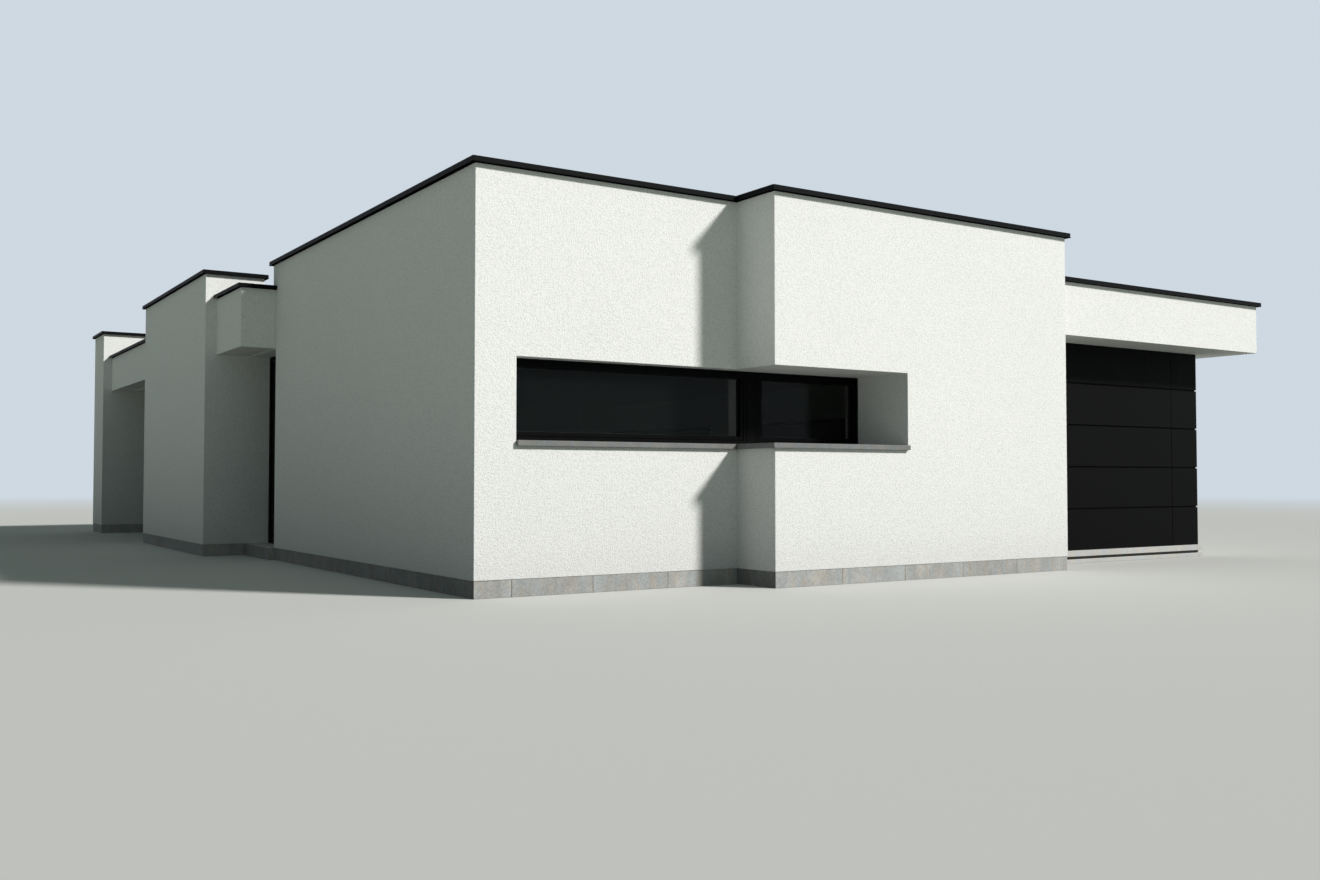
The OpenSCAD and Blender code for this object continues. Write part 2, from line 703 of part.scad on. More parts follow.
// A round bar with turned ends on two feet
module entrance_door_handle() color("silver") placed() {
    r = handle_dia / 2;
    turned = r / 4;
    low = plinth_h + handle_z - handle_len / 2;
    translate([leaf_x - handle_off, leaf_y + handle_edge, low]) union() {
        rotate_extrude($fn = 48) polygon([
            [0, 0], [r - turned, 0], [r, turned], [r, handle_len - turned], [r - turned, handle_len], [0, handle_len]
        ]);
        for (z = [handle_len / 8, handle_len * 7 / 8])
            translate([0, 0, z]) rotate([0, 90, 0]) {
                cylinder(r = r / 2, h = handle_off, $fn = 32);
                translate([0, 0, handle_off - handle_foot]) cylinder(r = r * 1.2, h = handle_foot, $fn = 32);
            }
    }
}

module terrace_window_frame() color(frame_black) placed()
    translate([door_x, end_y, plinth_h]) rotate([0, 0, -90])
        window_frame(terrace_w, ceiling_z - plinth_h, even_posts(terrace_w, terrace_panes));

module terrace_window_glass() color(glass_grey) placed()
    translate([door_x, end_y, plinth_h]) rotate([0, 0, -90])
        window_panes(terrace_w, ceiling_z - plinth_h, even_posts(terrace_w, terrace_panes));

module rear_window_frames() color(frame_black) placed() {
    on_back(rear_window_x) window_frame(window_w, frame_h, slot_posts);
    for (y = side_windows)
        on_side(y) window_frame(window_w, frame_h, slot_posts);
}

module rear_window_glass() color(glass_grey) placed() {
    on_back(rear_window_x) window_panes(window_w, frame_h, slot_posts);
    for (y = side_windows)
        on_side(y) window_panes(window_w, frame_h, slot_posts);
}

floor_slabs();
plinth();
front_wall();
bay_front_wall();
bay_side_wall();
bay_soffit_slab();
bay_ledge_slab();
bay_cheek_wall();
garage_side_wall();
left_wall();
entrance_step();
entrance_canopy();
west_box_wall();
end_box_wall();
box_return_walls();
box_upstands();
terrace_lintel();
north_wall();
east_wall();
garage_pier();
garage_canopy();
upper_walls();
front_roof_slab();
rear_roof_slab();
garage_roof_slab();
roof_membranes();
front_block_coping();
box_copings();
entrance_coping();
terrace_coping();
low_wall_copings();
front_window_frame();
front_window_glass();
window_sills();
garage_door();
garage_cladding();
garage_threshold();
entrance_door_frame();
entrance_door_leaf();
entrance_door_handle();
terrace_window_frame();
terrace_window_glass();
rear_window_frames();
rear_window_glass();
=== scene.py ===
"""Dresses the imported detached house: rendered walls, copings, stonework, windows, doors, roofs and light."""

from __future__ import annotations

import json
import logging
import math
from collections.abc import Callable, Iterable, Iterator, Sequence
from contextlib import contextmanager
from dataclasses import dataclass, field
from enum import Enum
from itertools import permutations

import bmesh
import bpy
from mathutils import Matrix, Vector


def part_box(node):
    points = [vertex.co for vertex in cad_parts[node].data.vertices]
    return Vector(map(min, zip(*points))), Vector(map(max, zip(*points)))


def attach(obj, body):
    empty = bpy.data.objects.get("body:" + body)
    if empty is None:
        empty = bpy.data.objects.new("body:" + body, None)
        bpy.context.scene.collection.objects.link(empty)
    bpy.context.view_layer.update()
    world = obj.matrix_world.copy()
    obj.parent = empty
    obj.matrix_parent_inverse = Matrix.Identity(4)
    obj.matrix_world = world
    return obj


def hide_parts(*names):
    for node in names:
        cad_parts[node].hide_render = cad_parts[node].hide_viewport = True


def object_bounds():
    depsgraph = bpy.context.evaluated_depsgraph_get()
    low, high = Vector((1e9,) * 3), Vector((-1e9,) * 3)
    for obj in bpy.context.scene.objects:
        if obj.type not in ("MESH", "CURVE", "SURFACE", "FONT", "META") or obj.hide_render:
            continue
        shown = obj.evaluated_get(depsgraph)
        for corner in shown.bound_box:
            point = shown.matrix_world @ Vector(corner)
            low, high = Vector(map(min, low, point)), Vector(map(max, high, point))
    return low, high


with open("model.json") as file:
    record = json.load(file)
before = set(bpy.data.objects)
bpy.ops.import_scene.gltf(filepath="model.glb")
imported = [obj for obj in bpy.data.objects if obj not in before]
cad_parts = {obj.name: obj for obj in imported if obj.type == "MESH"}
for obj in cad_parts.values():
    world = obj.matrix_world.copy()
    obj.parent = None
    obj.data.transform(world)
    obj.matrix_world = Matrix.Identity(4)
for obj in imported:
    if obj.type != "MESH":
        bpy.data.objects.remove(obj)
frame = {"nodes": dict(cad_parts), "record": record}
CAD_BOX = [list(corner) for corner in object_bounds()]

Colour = tuple[float, float, float]
Span = tuple[float, float]
Inputs = dict[str | int, object]
Box = tuple[Vector, Vector]
Run = tuple[Vector, Vector]
Ring = Sequence[Sequence[float]]

LOG = logging.getLogger("house")
MM = 0.001
# Points that lie closer than this are one point
MERGE = 1e-5
# A part of a length that small is a rounding error
ROUNDING = 1e-6
# The level direction from the house towards the sun
SUNNY_SIDE = (0.62, -0.78, 0.0)


# Node trees


@dataclass(frozen=True)
class Pattern:
    """A noise pattern, whose scale says how many features go into a metre."""

    scale: float
    # How many finer layers it has, and how strong these are
    detail: float = 2.0
    roughness: float = 0.5
    # Its share of the scale along Z, where less than 1 draws it out upright
    rise: float = 1.0


class Graph:
    """A node tree that is wired up one node at a time."""

    def __init__(self, tree: bpy.types.NodeTree) -> None:
        """Takes the material's, world's or Geometry Nodes tree that the nodes go into."""
        self.tree = tree

    def node(self, kind: str, inputs: Inputs | None = None, **settings: object) -> bpy.types.Node:
        """Adds a node.

        Args:
            kind: The node's Blender type.
            inputs: What goes into its inputs, as in fill.
            settings: The node's own properties.

        Returns:
            The new node.
        """
        made = self.tree.nodes.new(kind)
        for name, value in settings.items():
            setattr(made, name, value)
        self.fill(made, inputs or {})
        return made

    def fill(self, node: bpy.types.Node, inputs: Inputs) -> None:
        """Links or sets some inputs of a node.

        Args:
            node: The node.
            inputs: Plain values, outputs, or nodes whose first output is meant, by the input's name or index.
        """
        for key, value in inputs.items():
            if isinstance(value, bpy.types.Node):
                value = value.outputs[0]
            if isinstance(value, bpy.types.NodeSocket):
                self.tree.links.new(value, node.inputs[key])
            else:
                node.inputs[key].default_value = value

    def math(self, operation: str, a: object, b: object) -> bpy.types.Node:
        """Adds a Math node that works on two values."""
        return self.node("ShaderNodeMath", {0: a, 1: b}, operation=operation)

    def times(self, a: object, b: object) -> bpy.types.Node:
        """Adds the product of two values."""
        return self.math("MULTIPLY", a, b)

    def summed(self, *parts: tuple[object, float]) -> object:
        """Adds the sum of values, each times a share.

        Args:
            parts: Each value with its share.

        Returns:
            The node with the sum.
        """
        total: object = 0.0
        for value, share in parts:
            total = self.node("ShaderNodeMath", {0: value, 1: share, 2: total}, operation="MULTIPLY_ADD")
        return total

    def vector(self, operation: str, *values: object) -> bpy.types.Node:
        """Adds a Vector Math node that works on one or two vectors."""
        return self.node("ShaderNodeVectorMath", dict(enumerate(values)), operation=operation)

    def remap(self, value: object, span: Span, to: Span = (0.0, 1.0)) -> bpy.types.Node:
        """Adds a Map Range node that leads smoothly from one span to another and stays within it."""
        inputs = {0: value, 1: span[0], 2: span[1], 3: to[0], 4: to[1]}
        return self.node("ShaderNodeMapRange", inputs, interpolation_type="SMOOTHSTEP")

    def noise(self, place: object, pattern: Pattern) -> bpy.types.Node:
        """Adds a Noise Texture.

        Args:
            place: The coordinates.
            pattern: What it is like.

        Returns:
            The node, whose first output is the grey value.
        """
        if pattern.rise != 1.0:
            place = self.node("ShaderNodeMapping", {"Vector": place, "Scale": (1.0, 1.0, pattern.rise)})
        made = self.node("ShaderNodeTexNoise", {"Vector": place, "Scale": pattern.scale})
        self.fill(made, {"Detail": pattern.detail, "Roughness": pattern.roughness})
        return made

    def blend(self, factor: object, a: object, b: object, mode: str = "MIX") -> bpy.types.NodeSocket:
        """Adds a mix of two colours and gives the output with the result."""
        made = self.node("ShaderNodeMix", {0: factor, 6: a, 7: b}, data_type="RGBA", blend_type=mode)
        return made.outputs[2]

    def bump(self, height: object, depth: float, strength: float) -> bpy.types.Node:
        """Adds a Bump node for a height of which 1 stands for the depth, in metres."""
        return self.node("ShaderNodeBump", {"Height": height, "Distance": depth, "Strength": strength})


# Finishes


def shade(colour: Colour, factor: float = 1.0) -> tuple[float, float, float, float]:
    """A colour made darker or lighter by a factor, with alpha."""
    return (*(min(1.0, channel * factor) for channel in colour), 1.0)


def around(share: float) -> Span:
    """The span from a share below 1 to the same share above it."""
    return 1.0 - share, 1.0 + share


@dataclass(frozen=True)
class Mark:
    """Marks in a surface: the span of a pattern that they take, how far they cover it and their tone."""

    span: Span
    cover: float
    tone: float


@dataclass(frozen=True)
class Finish:
    """How a surface looks. The plain finish has faint cloudy differences in tone and gloss."""

    name: str
    colour: Colour
    roughness: float
    specular: float = 0.5
    metallic: float = 0.0
    pattern: Pattern = Pattern(3.0, 3.0)
    # The colour's factors where the pattern is lowest and highest
    tones: Span = (0.93, 1.05)
    # Where in the pattern the roughness changes, and what is added to it at either end
    band: Span = (0.2, 0.8)
    gloss: Span = (-0.04, 0.04)
    # How deep the pattern stands out, and how strongly
    depth: float = 0.0
    strength: float = 0.0

    def material(self) -> bpy.types.Material:
        """The finish's material, made at its first use.

        Returns:
            The material.
        """
        made = bpy.data.materials.get(self.name)
        if made is None:
            made = bpy.data.materials.new(self.name)
            made.use_nodes = True
            made.diffuse_color = shade(self.colour)
            graph = Graph(made.node_tree)
            place = graph.node("ShaderNodeTexCoord").outputs["Object"]
            values = {"Specular IOR Level": self.specular, "Metallic": self.metallic}
            graph.fill(made.node_tree.nodes["Principled BSDF"], {**values, **self.wire(graph, place)})
        return made

    def wire(self, graph: Graph, place: bpy.types.NodeSocket) -> Inputs:
        """Wires the finish's pattern.

        Args:
            graph: The material's tree.
            place: Its Object coordinates.

        Returns:
            What goes into the shader's inputs.
        """
        pattern = graph.noise(place, self.pattern)
        inputs: Inputs = {"Base Color": self.toned(graph, pattern), "Roughness": self.rough(graph, pattern)}
        if self.depth:
            inputs["Normal"] = graph.bump(pattern, self.depth, self.strength)
        return inputs

    def toned(self, graph: Graph, factor: object) -> bpy.types.NodeSocket:
        """The finish's colour between its darkest and its palest tone."""
        dark, pale = (shade(self.colour, tone) for tone in self.tones)
        return graph.blend(factor, dark, pale)

    def marked(self, graph: Graph, under: object, pattern: object, mark: Mark, share: float = 1.0) -> object:
        """A colour with marks laid over it, at a share of their full cover."""
        cover = graph.remap(pattern, mark.span, (0.0, mark.cover * share))
        return graph.blend(cover, under, shade(self.colour, mark.tone))

    def rough(self, graph: Graph, pattern: object) -> bpy.types.Node:
        """The finish's roughness as it follows a pattern."""
        low, high = (self.roughness + change for change in self.gloss)
        return graph.remap(pattern, self.band, (low, high))


@dataclass(frozen=True)
class RenderCoat(Finish):
    """Scraped mineral render: grains and pores of a few millimetres with painted shade in them, and a faint
    splash zone at its foot.
    """

    pattern: Pattern = Pattern(0.8, 4.0)
    tones: Span = (0.99, 1.03)
    band: Span = (0.3, 0.7)
    gloss: Span = (0.0, 0.12)
    depth: float = 4.5 * MM
    strength: float = 1.0
    grains: Pattern = Pattern(88.0, 1.0, 0.4)
    fines: Pattern = Pattern(440.0, 1.0)
    pores: Pattern = Pattern(228.8, 1.0)
    # How much grains, fines and pores add to the height
    heights: tuple[float, float, float] = (0.8, 0.07, -0.10)
    # Painted shade: the grains' hollows and the pores are darkened, as if shaded
    hollow_shade: Mark = Mark((0.56, 0.32), 0.36, 0.60)
    pore_shade: Mark = Mark((0.60, 0.72), 0.5, 0.68)
    splashes: Pattern = Pattern(7.0, 3.0)
    splash_zone: Span = (0.50, 0.15)
    splash_cover: float = 0.16
    splash_colour: Colour = (0.55, 0.54, 0.50)

    def wire(self, graph: Graph, place: bpy.types.NodeSocket) -> Inputs:
        """Wires clouds, grains, pores with painted shade in the hollows and pores, and the splash zone.

        Args:
            graph: The material's tree.
            place: Its Object coordinates.

        Returns:
            What goes into the shader's inputs.
        """
        patterns = (self.pattern, self.grains, self.fines, self.pores, self.splashes)
        clouds, grains, fines, pores, splashes = (graph.noise(place, pattern) for pattern in patterns)
        # painted shade: darker in the grains' hollows and in the pores
        tone = self.marked(graph, self.toned(graph, clouds), grains, self.hollow_shade)
        tone = self.marked(graph, tone, pores, self.pore_shade)
        level = graph.node("ShaderNodeSeparateXYZ", {0: place}).outputs["Z"]
        splashed = graph.times(graph.remap(level, self.splash_zone, (0.0, self.splash_cover)), splashes)
        pitted = graph.remap(pores, self.pore_shade.span)
        height = graph.summed(*zip((grains, fines, pitted), self.heights))
        return {
            "Base Color": graph.blend(splashed, tone, shade(self.splash_colour)),
            "Roughness": self.rough(graph, grains),
            "Normal": graph.bump(height, self.depth, self.strength),
        }


@dataclass(frozen=True)
class Plaster(Finish):
    """Smooth trowelled plaster for the rooms."""

    pattern: Pattern = Pattern(9.0, 4.0, rise=0.5)
    tones: Span = (0.96, 1.03)
    band: Span = (0.3, 0.7)
    gloss: Span = (-0.05, 0.05)
    depth: float = 1.0 * MM
    strength: float = 0.3


@dataclass(frozen=True)
class SawnStone(Finish):
    """Grey limestone: saw marks, mottling, speckle, iron stains, slab tones, painted shade on sides away from
    the sun.
    """

    pattern: Pattern = Pattern(8.0, 3.0, 0.6, rise=0.6)
    tones: Span = (0.95, 1.05)
    band: Span = (0.3, 0.7)
    gloss: Span = (-0.06, 0.06)
    depth: float = 1.2 * MM
    strength: float = 0.5
    saw: Pattern = Pattern(11.0, 4.0, 0.6, rise=0.12)
    dots: Pattern = Pattern(240.0, 2.0, 0.7)
    grains: Pattern = Pattern(52.0, 1.0, 0.4)
    iron: Pattern = Pattern(13.0, rise=0.35)
    # How much saw marks and dots add to the height
    heights: Span = (0.7, 0.3)
    specks: tuple[Mark, ...] = (Mark((0.52, 0.66), 3.0, 0.45), Mark((0.48, 0.34), 2.0, 1.6))
    speckle: float = 0.10
    mottle: float = 0.09
    mottle_span: Span = (0.32, 0.68)
    warmth: float = 0.045
    warmth_span: Span = (0.36, 0.64)
    slab_tone: float = 0.06
    # Painted shade: how far the sides that face away from the sun are darkened
    painted_shade: float = 0.0
    # The clouds' span over which the painted shade is patchy, and its share at either end
    painted_shade_span: Span = (0.35, 0.65)
    painted_shade_shares: Span = (0.90, 1.22)
    # How far a side faces the sun where it has no painted shade and where its painted shade is full
    sun_span: Span = (0.0, -0.5)

    def wire(self, graph: Graph, place: bpy.types.NodeSocket) -> Inputs:
        """Wires saw marks, mottling, speckle, iron stains, painted shade and the slabs' tones.

        Args:
            graph: The material's tree.
            place: Its Object coordinates.

        Returns:
            What goes into the shader's inputs.
        """
        patterns = (self.pattern, self.saw, self.dots, self.grains, self.iron)
        clouds, saw, dots, grains, iron = (graph.noise(place, pattern) for pattern in patterns)
        tone = self.toned(graph, graph.remap(saw, self.band))
        for speck in self.specks:
            tone = self.marked(graph, tone, dots, speck, self.speckle)
        patchy = graph.remap(clouds, self.mottle_span, around(self.mottle))
        mottled = graph.times(patchy, graph.remap(grains, self.band, around(self.mottle)))
        slab = graph.node("ShaderNodeAttribute", attribute_name="tone", attribute_type="GEOMETRY")
        factor = graph.summed((slab.outputs["Fac"], self.slab_tone), (mottled, 1.0))
        # painted shade on the sides that face away from the sun
        factor = graph.times(factor, graph.math("SUBTRACT", 1.0, self.painted_side_shade(graph, place, clouds)))
        red, blue = (
            graph.times(factor, graph.remap(iron, self.warmth_span, around(warmth)))
            for warmth in (self.warmth, -self.warmth)
        )
        stained = graph.node("ShaderNodeCombineColor", {0: red, 1: factor, 2: blue})
        height = graph.summed(*zip((saw, dots), self.heights))
        return {
            "Base Color": graph.blend(1.0, tone, stained, "MULTIPLY"),
            "Roughness": self.rough(graph, clouds),
            "Normal": graph.bump(height, self.depth, self.strength),
        }

    def painted_side_shade(self, graph: Graph, place: bpy.types.NodeSocket, clouds: bpy.types.Node) -> bpy.types.Node:
        """How far painted shade darkens the stone: in patches, on the sides that face away from the sun.

        Args:
            graph: The material's tree.
            place: Its Object coordinates.
            clouds: The pattern that the patches follow.

        Returns:
            The node with the share that is taken off.
        """
        facing = place.node.outputs["Normal"]
        sunny = graph.vector("DOT_PRODUCT", facing, SUNNY_SIDE).outputs["Value"]
        low, high = (self.painted_shade * share for share in self.painted_shade_shares)
        patches = graph.remap(clouds, self.painted_shade_span, (low, high))
        return graph.times(graph.remap(sunny, self.sun_span), patches)


@dataclass(frozen=True)
class PowderCoat(Finish):
    """Powder-coated metal: a fine orange-peel skin with a trace of dust."""

    pattern: Pattern = Pattern(6.0, 5.0, 0.65, rise=0.35)
    band: Span = (0.3, 0.8)
    gloss: Span = (0.0, 0.10)
    depth: float = 0.15 * MM
    strength: float = 0.35
    skin: Pattern = Pattern(420.0)
    dust: float = 0.10
    dust_span: Span = (0.45, 0.80)
    dust_colour: Colour = (0.16, 0.155, 0.145)

    def wire(self, graph: Graph, place: bpy.types.NodeSocket) -> Inputs:
        """Wires the skin and the dust.

        Args:
            graph: The material's tree.
            place: Its Object coordinates.

        Returns:
            What goes into the shader's inputs.
        """
        dust = graph.noise(place, self.pattern)
        film = graph.remap(dust, self.dust_span, (0.0, self.dust))
        return {
            "Base Color": graph.blend(film, shade(self.colour), shade(self.dust_colour)),
            "Roughness": self.rough(graph, dust),
            "Normal": graph.bump(graph.noise(place, self.skin), self.depth, self.strength),
        }


@dataclass(frozen=True)
class Brushed(Finish):
    """Stainless steel with upright brush lines."""

    pattern: Pattern = Pattern(900.0, rise=0.02)
    tones: Span = (0.85, 1.1)
    band: Span = (0.3, 0.7)
    gloss: Span = (-0.08, 0.08)
    depth: float = 0.1 * MM
    strength: float = 0.2


@dataclass(frozen=True)
class RoofSheet(Finish):
    """Bituminous roofing sheet with mineral granules and the marks of dried puddles."""

    pattern: Pattern = Pattern(1.1, 4.0, 0.6)
    tones: Span = (0.70, 1.35)
    band: Span = (0.3, 0.7)
    gloss: Span = (0.0, -0.10)
    depth: float = 0.8 * MM
    strength: float = 0.6
    granules: Pattern = Pattern(380.0, 2.0, 0.7)
    granule_span: Span = (0.35, 0.65)
    puddle: Mark = Mark((0.48, 0.66), 0.10, 1.9)

    def wire(self, graph: Graph, place: bpy.types.NodeSocket) -> Inputs:
        """Wires granules and puddle marks.

        Args:
            graph: The material's tree.
            place: Its Object coordinates.

        Returns:
            What goes into the shader's inputs.
        """
        puddles, granules = (graph.noise(place, pattern) for pattern in (self.pattern, self.granules))
        tone = self.toned(graph, graph.remap(granules, self.granule_span))
        return {
            "Base Color": self.marked(graph, tone, puddles, self.puddle),
            "Roughness": self.rough(graph, puddles),
            "Normal": graph.bump(granules, self.depth, self.strength),
        }


@dataclass(frozen=True)
class Glazing(Finish):
    """Double glazing: dark because the rooms behind it are dark, with a faint film of dust."""

    pattern: Pattern = Pattern(4.0, 4.0, rise=0.4)
    tones: Span = (0.8, 1.3)
    band: Span = (0.3, 0.8)
    gloss: Span = (0.0, 0.03)
    # How much of the room behind it the glass hides
    cover: float = 1.0

    def wire(self, graph: Graph, place: bpy.types.NodeSocket) -> Inputs:
        """Wires the film and the glass's cover."""
        return {**super().wire(graph, place), "Alpha": self.cover}


WALL_RENDER = RenderCoat("white_scraped_render", (0.86, 0.86, 0.845), 0.86, 0.25)
ROOM_PLASTER = Plaster("room_plaster", (0.74, 0.73, 0.70), 0.80, 0.2)
# The plinth's stone carries painted shade on its sides away from the sun
PLINTH_STONE = SawnStone("sawn_plinth_stone", (0.430, 0.428, 0.408), 0.72, 0.3, painted_shade=0.46)
SILL_STONE = SawnStone(
    "speckled_sill_stone", (0.185, 0.188, 0.185), 0.55, 0.4, tones=(0.96, 1.04), speckle=0.16
)
THRESHOLD_STONE = SawnStone(
    "pale_threshold_stone", (0.55, 0.55, 0.535), 0.65, 0.3, tones=(0.97, 1.03), mottle=0.04, speckle=0.06
)
MORTAR = Finish("joint_mortar", (0.31, 0.305, 0.29), 0.90, 0.2)
# Painted shade: a dark strip at the back of the garage threshold's shaded groove
GROOVE_SHADE = Finish("painted_groove_shade", (0.16, 0.158, 0.15), 0.92, 0.2)
SCREED = Finish("floor_screed", (0.34, 0.33, 0.31), 0.60, 0.3)
COPING_COAT = PowderCoat("anthracite_coping_coat", (0.0032, 0.0035, 0.0040), 0.52, 0.05, dust=0.02)
FRAME_COAT = PowderCoat("black_frame_coat", (0.0012, 0.0012, 0.0013), 0.45, 0.05, dust=0.005)
PANEL_COAT = PowderCoat("satin_garage_coat", (0.0024, 0.0024, 0.0024), 0.55, 0.040, dust=0.006)
DOOR_COAT = PowderCoat("satin_door_coat", (0.0018, 0.0018, 0.0020), 0.50, 0.06, dust=0.008)
RUBBER = Finish("black_seal_rubber", (0.0016, 0.0016, 0.0016), 0.75, 0.08)
SPACER = Finish("glazing_spacer_grey", (0.03, 0.03, 0.03), 0.45, 0.3)
ROOF_SHEET = RoofSheet("granulated_roof_sheet", (0.085, 0.087, 0.090), 0.88, 0.3)
BITUMEN = Finish("pressed_out_bitumen", (0.012, 0.012, 0.012), 0.45, 0.4)
BAR_METAL = Finish("mill_aluminium", (0.62, 0.63, 0.64), 0.38, 0.5, 1.0)
STEEL = Brushed("brushed_handle_steel", (0.56, 0.56, 0.55), 0.30, 0.5, 1.0)
GLASS = Glazing("clear_double_glazing", (0.006, 0.009, 0.008), 0.015, 0.20, cover=0.35)
# Painted shade: the rear windows' panes are opaque and dark, standing in for the dark rooms behind them
DIM_GLASS = Glazing("dim_double_glazing", (0.004, 0.006, 0.005), 0.05, 0.20)


# Meshes


@contextmanager
def opened(mesh: bpy.types.Mesh) -> Iterator[bmesh.types.BMesh]:
    """Opens a mesh for work on its points and faces, and puts the result back into it.

    Args:
        mesh: The mesh.

    Yields:
        What is worked on.
    """
    body = bmesh.new()
    body.from_mesh(mesh)
    yield body
    body.to_mesh(mesh)
    body.free()


def clean(body: bmesh.types.BMesh) -> None:
    """Merges doubled points, drops faces without area, joins flat neighbours and turns faces outwards.

    Args:
        body: The opened mesh.
    """
    flat = math.radians(0.5)
    bmesh.ops.remove_doubles(body, verts=body.verts, dist=MERGE)
    bmesh.ops.dissolve_degenerate(body, edges=body.edges, dist=MERGE)
    bmesh.ops.dissolve_limit(body, verts=body.verts, edges=body.edges, angle_limit=flat, delimit={"MATERIAL"})
    bmesh.ops.recalc_face_normals(body, faces=body.faces)


def placed(name: str, data: bpy.types.ID) -> bpy.types.Object:
    """Puts a mesh, camera or lamp into the scene.

    Args:
        name: The object's name.
        data: What it holds.

    Returns:
        The object.
    """
    made = bpy.data.objects.new(name, data)
    bpy.context.scene.collection.objects.link(made)
    return made


def shown(name: str, mesh: bpy.types.Mesh, *finishes: Finish) -> bpy.types.Object:
    """Puts a mesh into the scene as a piece.

    Args:
        name: The piece's name.
        mesh: Its mesh, in the shared frame.
        finishes: Its finishes, in the order of the material indices.

    Returns:
        The object.
    """
    mesh.materials.clear()
    for finish in finishes:
        mesh.materials.append(finish.material())
    return placed(name, mesh)


class Solid:
    """Closed bodies that are gathered into one piece."""

    def __init__(self, place: Matrix | None = None) -> None:
        """Starts empty.

        Args:
            place: Where the local coordinates are in the shared frame.
        """
        self.place = place or Matrix.Identity(4)
        self.points: list[Vector] = []
        self.faces: list[list[int]] = []

    def add(self, points: Iterable[Sequence[float]], faces: Iterable[Sequence[int]]) -> None:
        """Adds points and the faces between them.

        Args:
            points: Their local coordinates.
            faces: Indices into these points.
        """
        start = len(self.points)
        self.points += [self.place @ Vector(point) for point in points]
        self.faces += [[start + i for i in face] for face in faces]

    def loft(self, rings: Sequence[Ring]) -> None:
        """Adds a body that runs through closed rings of equal length, capped at both ends.

        Args:
            rings: The rings, in order.
        """
        n = len(rings[0])
        last = (len(rings) - 1) * n
        sides = [
            (start + i, start + (i + 1) % n, start + n + (i + 1) % n, start + n + i)
            for start in range(0, last, n) for i in range(n)
        ]
        caps = [list(range(n))[::-1], [last + i for i in range(n)]]
        self.add([point for ring in rings for point in ring], [*sides, *caps])

    def box(self, low: Sequence[float], high: Sequence[float]) -> None:
        """Adds a block between two corners.

        Args:
            low: Its lowest corner.
            high: Its highest corner.
        """
        (x0, y0, z0), (x1, y1, z1) = low, high
        plan = [(x0, y0), (x1, y0), (x1, y1), (x0, y1)]
        self.loft([[(x, y, z) for x, y in plan] for z in (z0, z1)])

    def relief(
        self,
        xs: Sequence[float],
        zs: Sequence[float],
        depth: Callable[[float, float], float | None],
        back: float,
    ) -> None:
        """Adds an upright plate whose front lies at a depth of its own in each cell of a grid.

        Args:
            xs: The grid's lines along X.
            zs: The grid's lines along Z.
            depth: Gives the front's depth along Y at a cell's middle, or None where the plate is open.
            back: The depth of the plate's back.
        """
        columns, rows = ([(a + b) / 2 for a, b in zip(line, line[1:])] for line in (xs, zs))
        cells = {(i, k): depth(x, z) for i, x in enumerate(columns) for k, z in enumerate(rows)}
        for (i, k), front in cells.items():
            if front is None:
                continue
            x0, x1, z0, z1 = xs[i], xs[i + 1], zs[k], zs[k + 1]
            for y, order in ((front, 1), (back, -1)):
                self.add([(x0, y, z0), (x1, y, z0), (x1, y, z1), (x0, y, z1)], [(0, 1, 2, 3)[::order]])
            sides = {
                (i - 1, k): ((x0, z1), (x0, z0)), (i + 1, k): ((x1, z0), (x1, z1)),
                (i, k - 1): ((x0, z0), (x1, z0)), (i, k + 1): ((x1, z1), (x0, z1)),
            }
            for beside, ((xa, za), (xb, zb)) in sides.items():
                behind = cells.get(beside)
                behind = back if behind is None else behind
                if behind > front:
                    step = [(xa, front, za), (xa, behind, za), (xb, behind, zb), (xb, front, zb)]
                    self.add(step, [(0, 1, 2, 3)])

    def piece(self, name: str, *finishes: Finish) -> bpy.types.Object:
        """Makes the object, cleaned.

        Args:
            name: The piece's name.
            finishes: Its finishes, in the order of the material indices.

        Returns:
            The object.
        """
        mesh = bpy.data.meshes.new(name)
        with opened(mesh) as body:
            corners = [body.verts.new(point) for point in self.points]
            for face in self.faces:
                body.faces.new([corners[i] for i in face])
            clean(body)
        return shown(name, mesh, *finishes)


def evaluated_mesh(obj: bpy.types.Object) -> bpy.types.Mesh:
    """A plain mesh of an object with its modifiers applied."""
    graph = bpy.context.evaluated_depsgraph_get()
    return bpy.data.meshes.new_from_object(obj.evaluated_get(graph), depsgraph=graph)


def cad_copy(node: str) -> bmesh.types.BMesh:
    """A copy of a CAD node with its loose triangles merged.

    Args:
        node: Its name.

    Returns:
        The copy, which the caller frees.
    """
    body = bmesh.new()
    body.from_mesh(frame["nodes"][node].data)
    bmesh.ops.remove_doubles(body, verts=body.verts, dist=MERGE)
    return body


def islands(node: str) -> list[Box]:
    """The boxes of a CAD node's separate bodies.

    Args:
        node: Its name.

    Returns:
        The lowest and highest corner of each, sorted by place.
    """
    body = cad_copy(node)
    left, found = set(body.verts), []
    while left:
        seen, queue = set(), [left.pop()]
        while queue:
            corner = queue.pop()
            seen.add(corner)
            queue += [v for edge in corner.link_edges for v in edge.verts if v not in seen and v in left]
            left -= set(queue)
        spread = [[v.co[k] for v in seen] for k in range(3)]
        found.append((Vector([min(line) for line in spread]), Vector([max(line) for line in spread])))
    body.free()
    return sorted(found, key=lambda box: tuple(round(c, 4) for c in (*box[0], *box[1])))


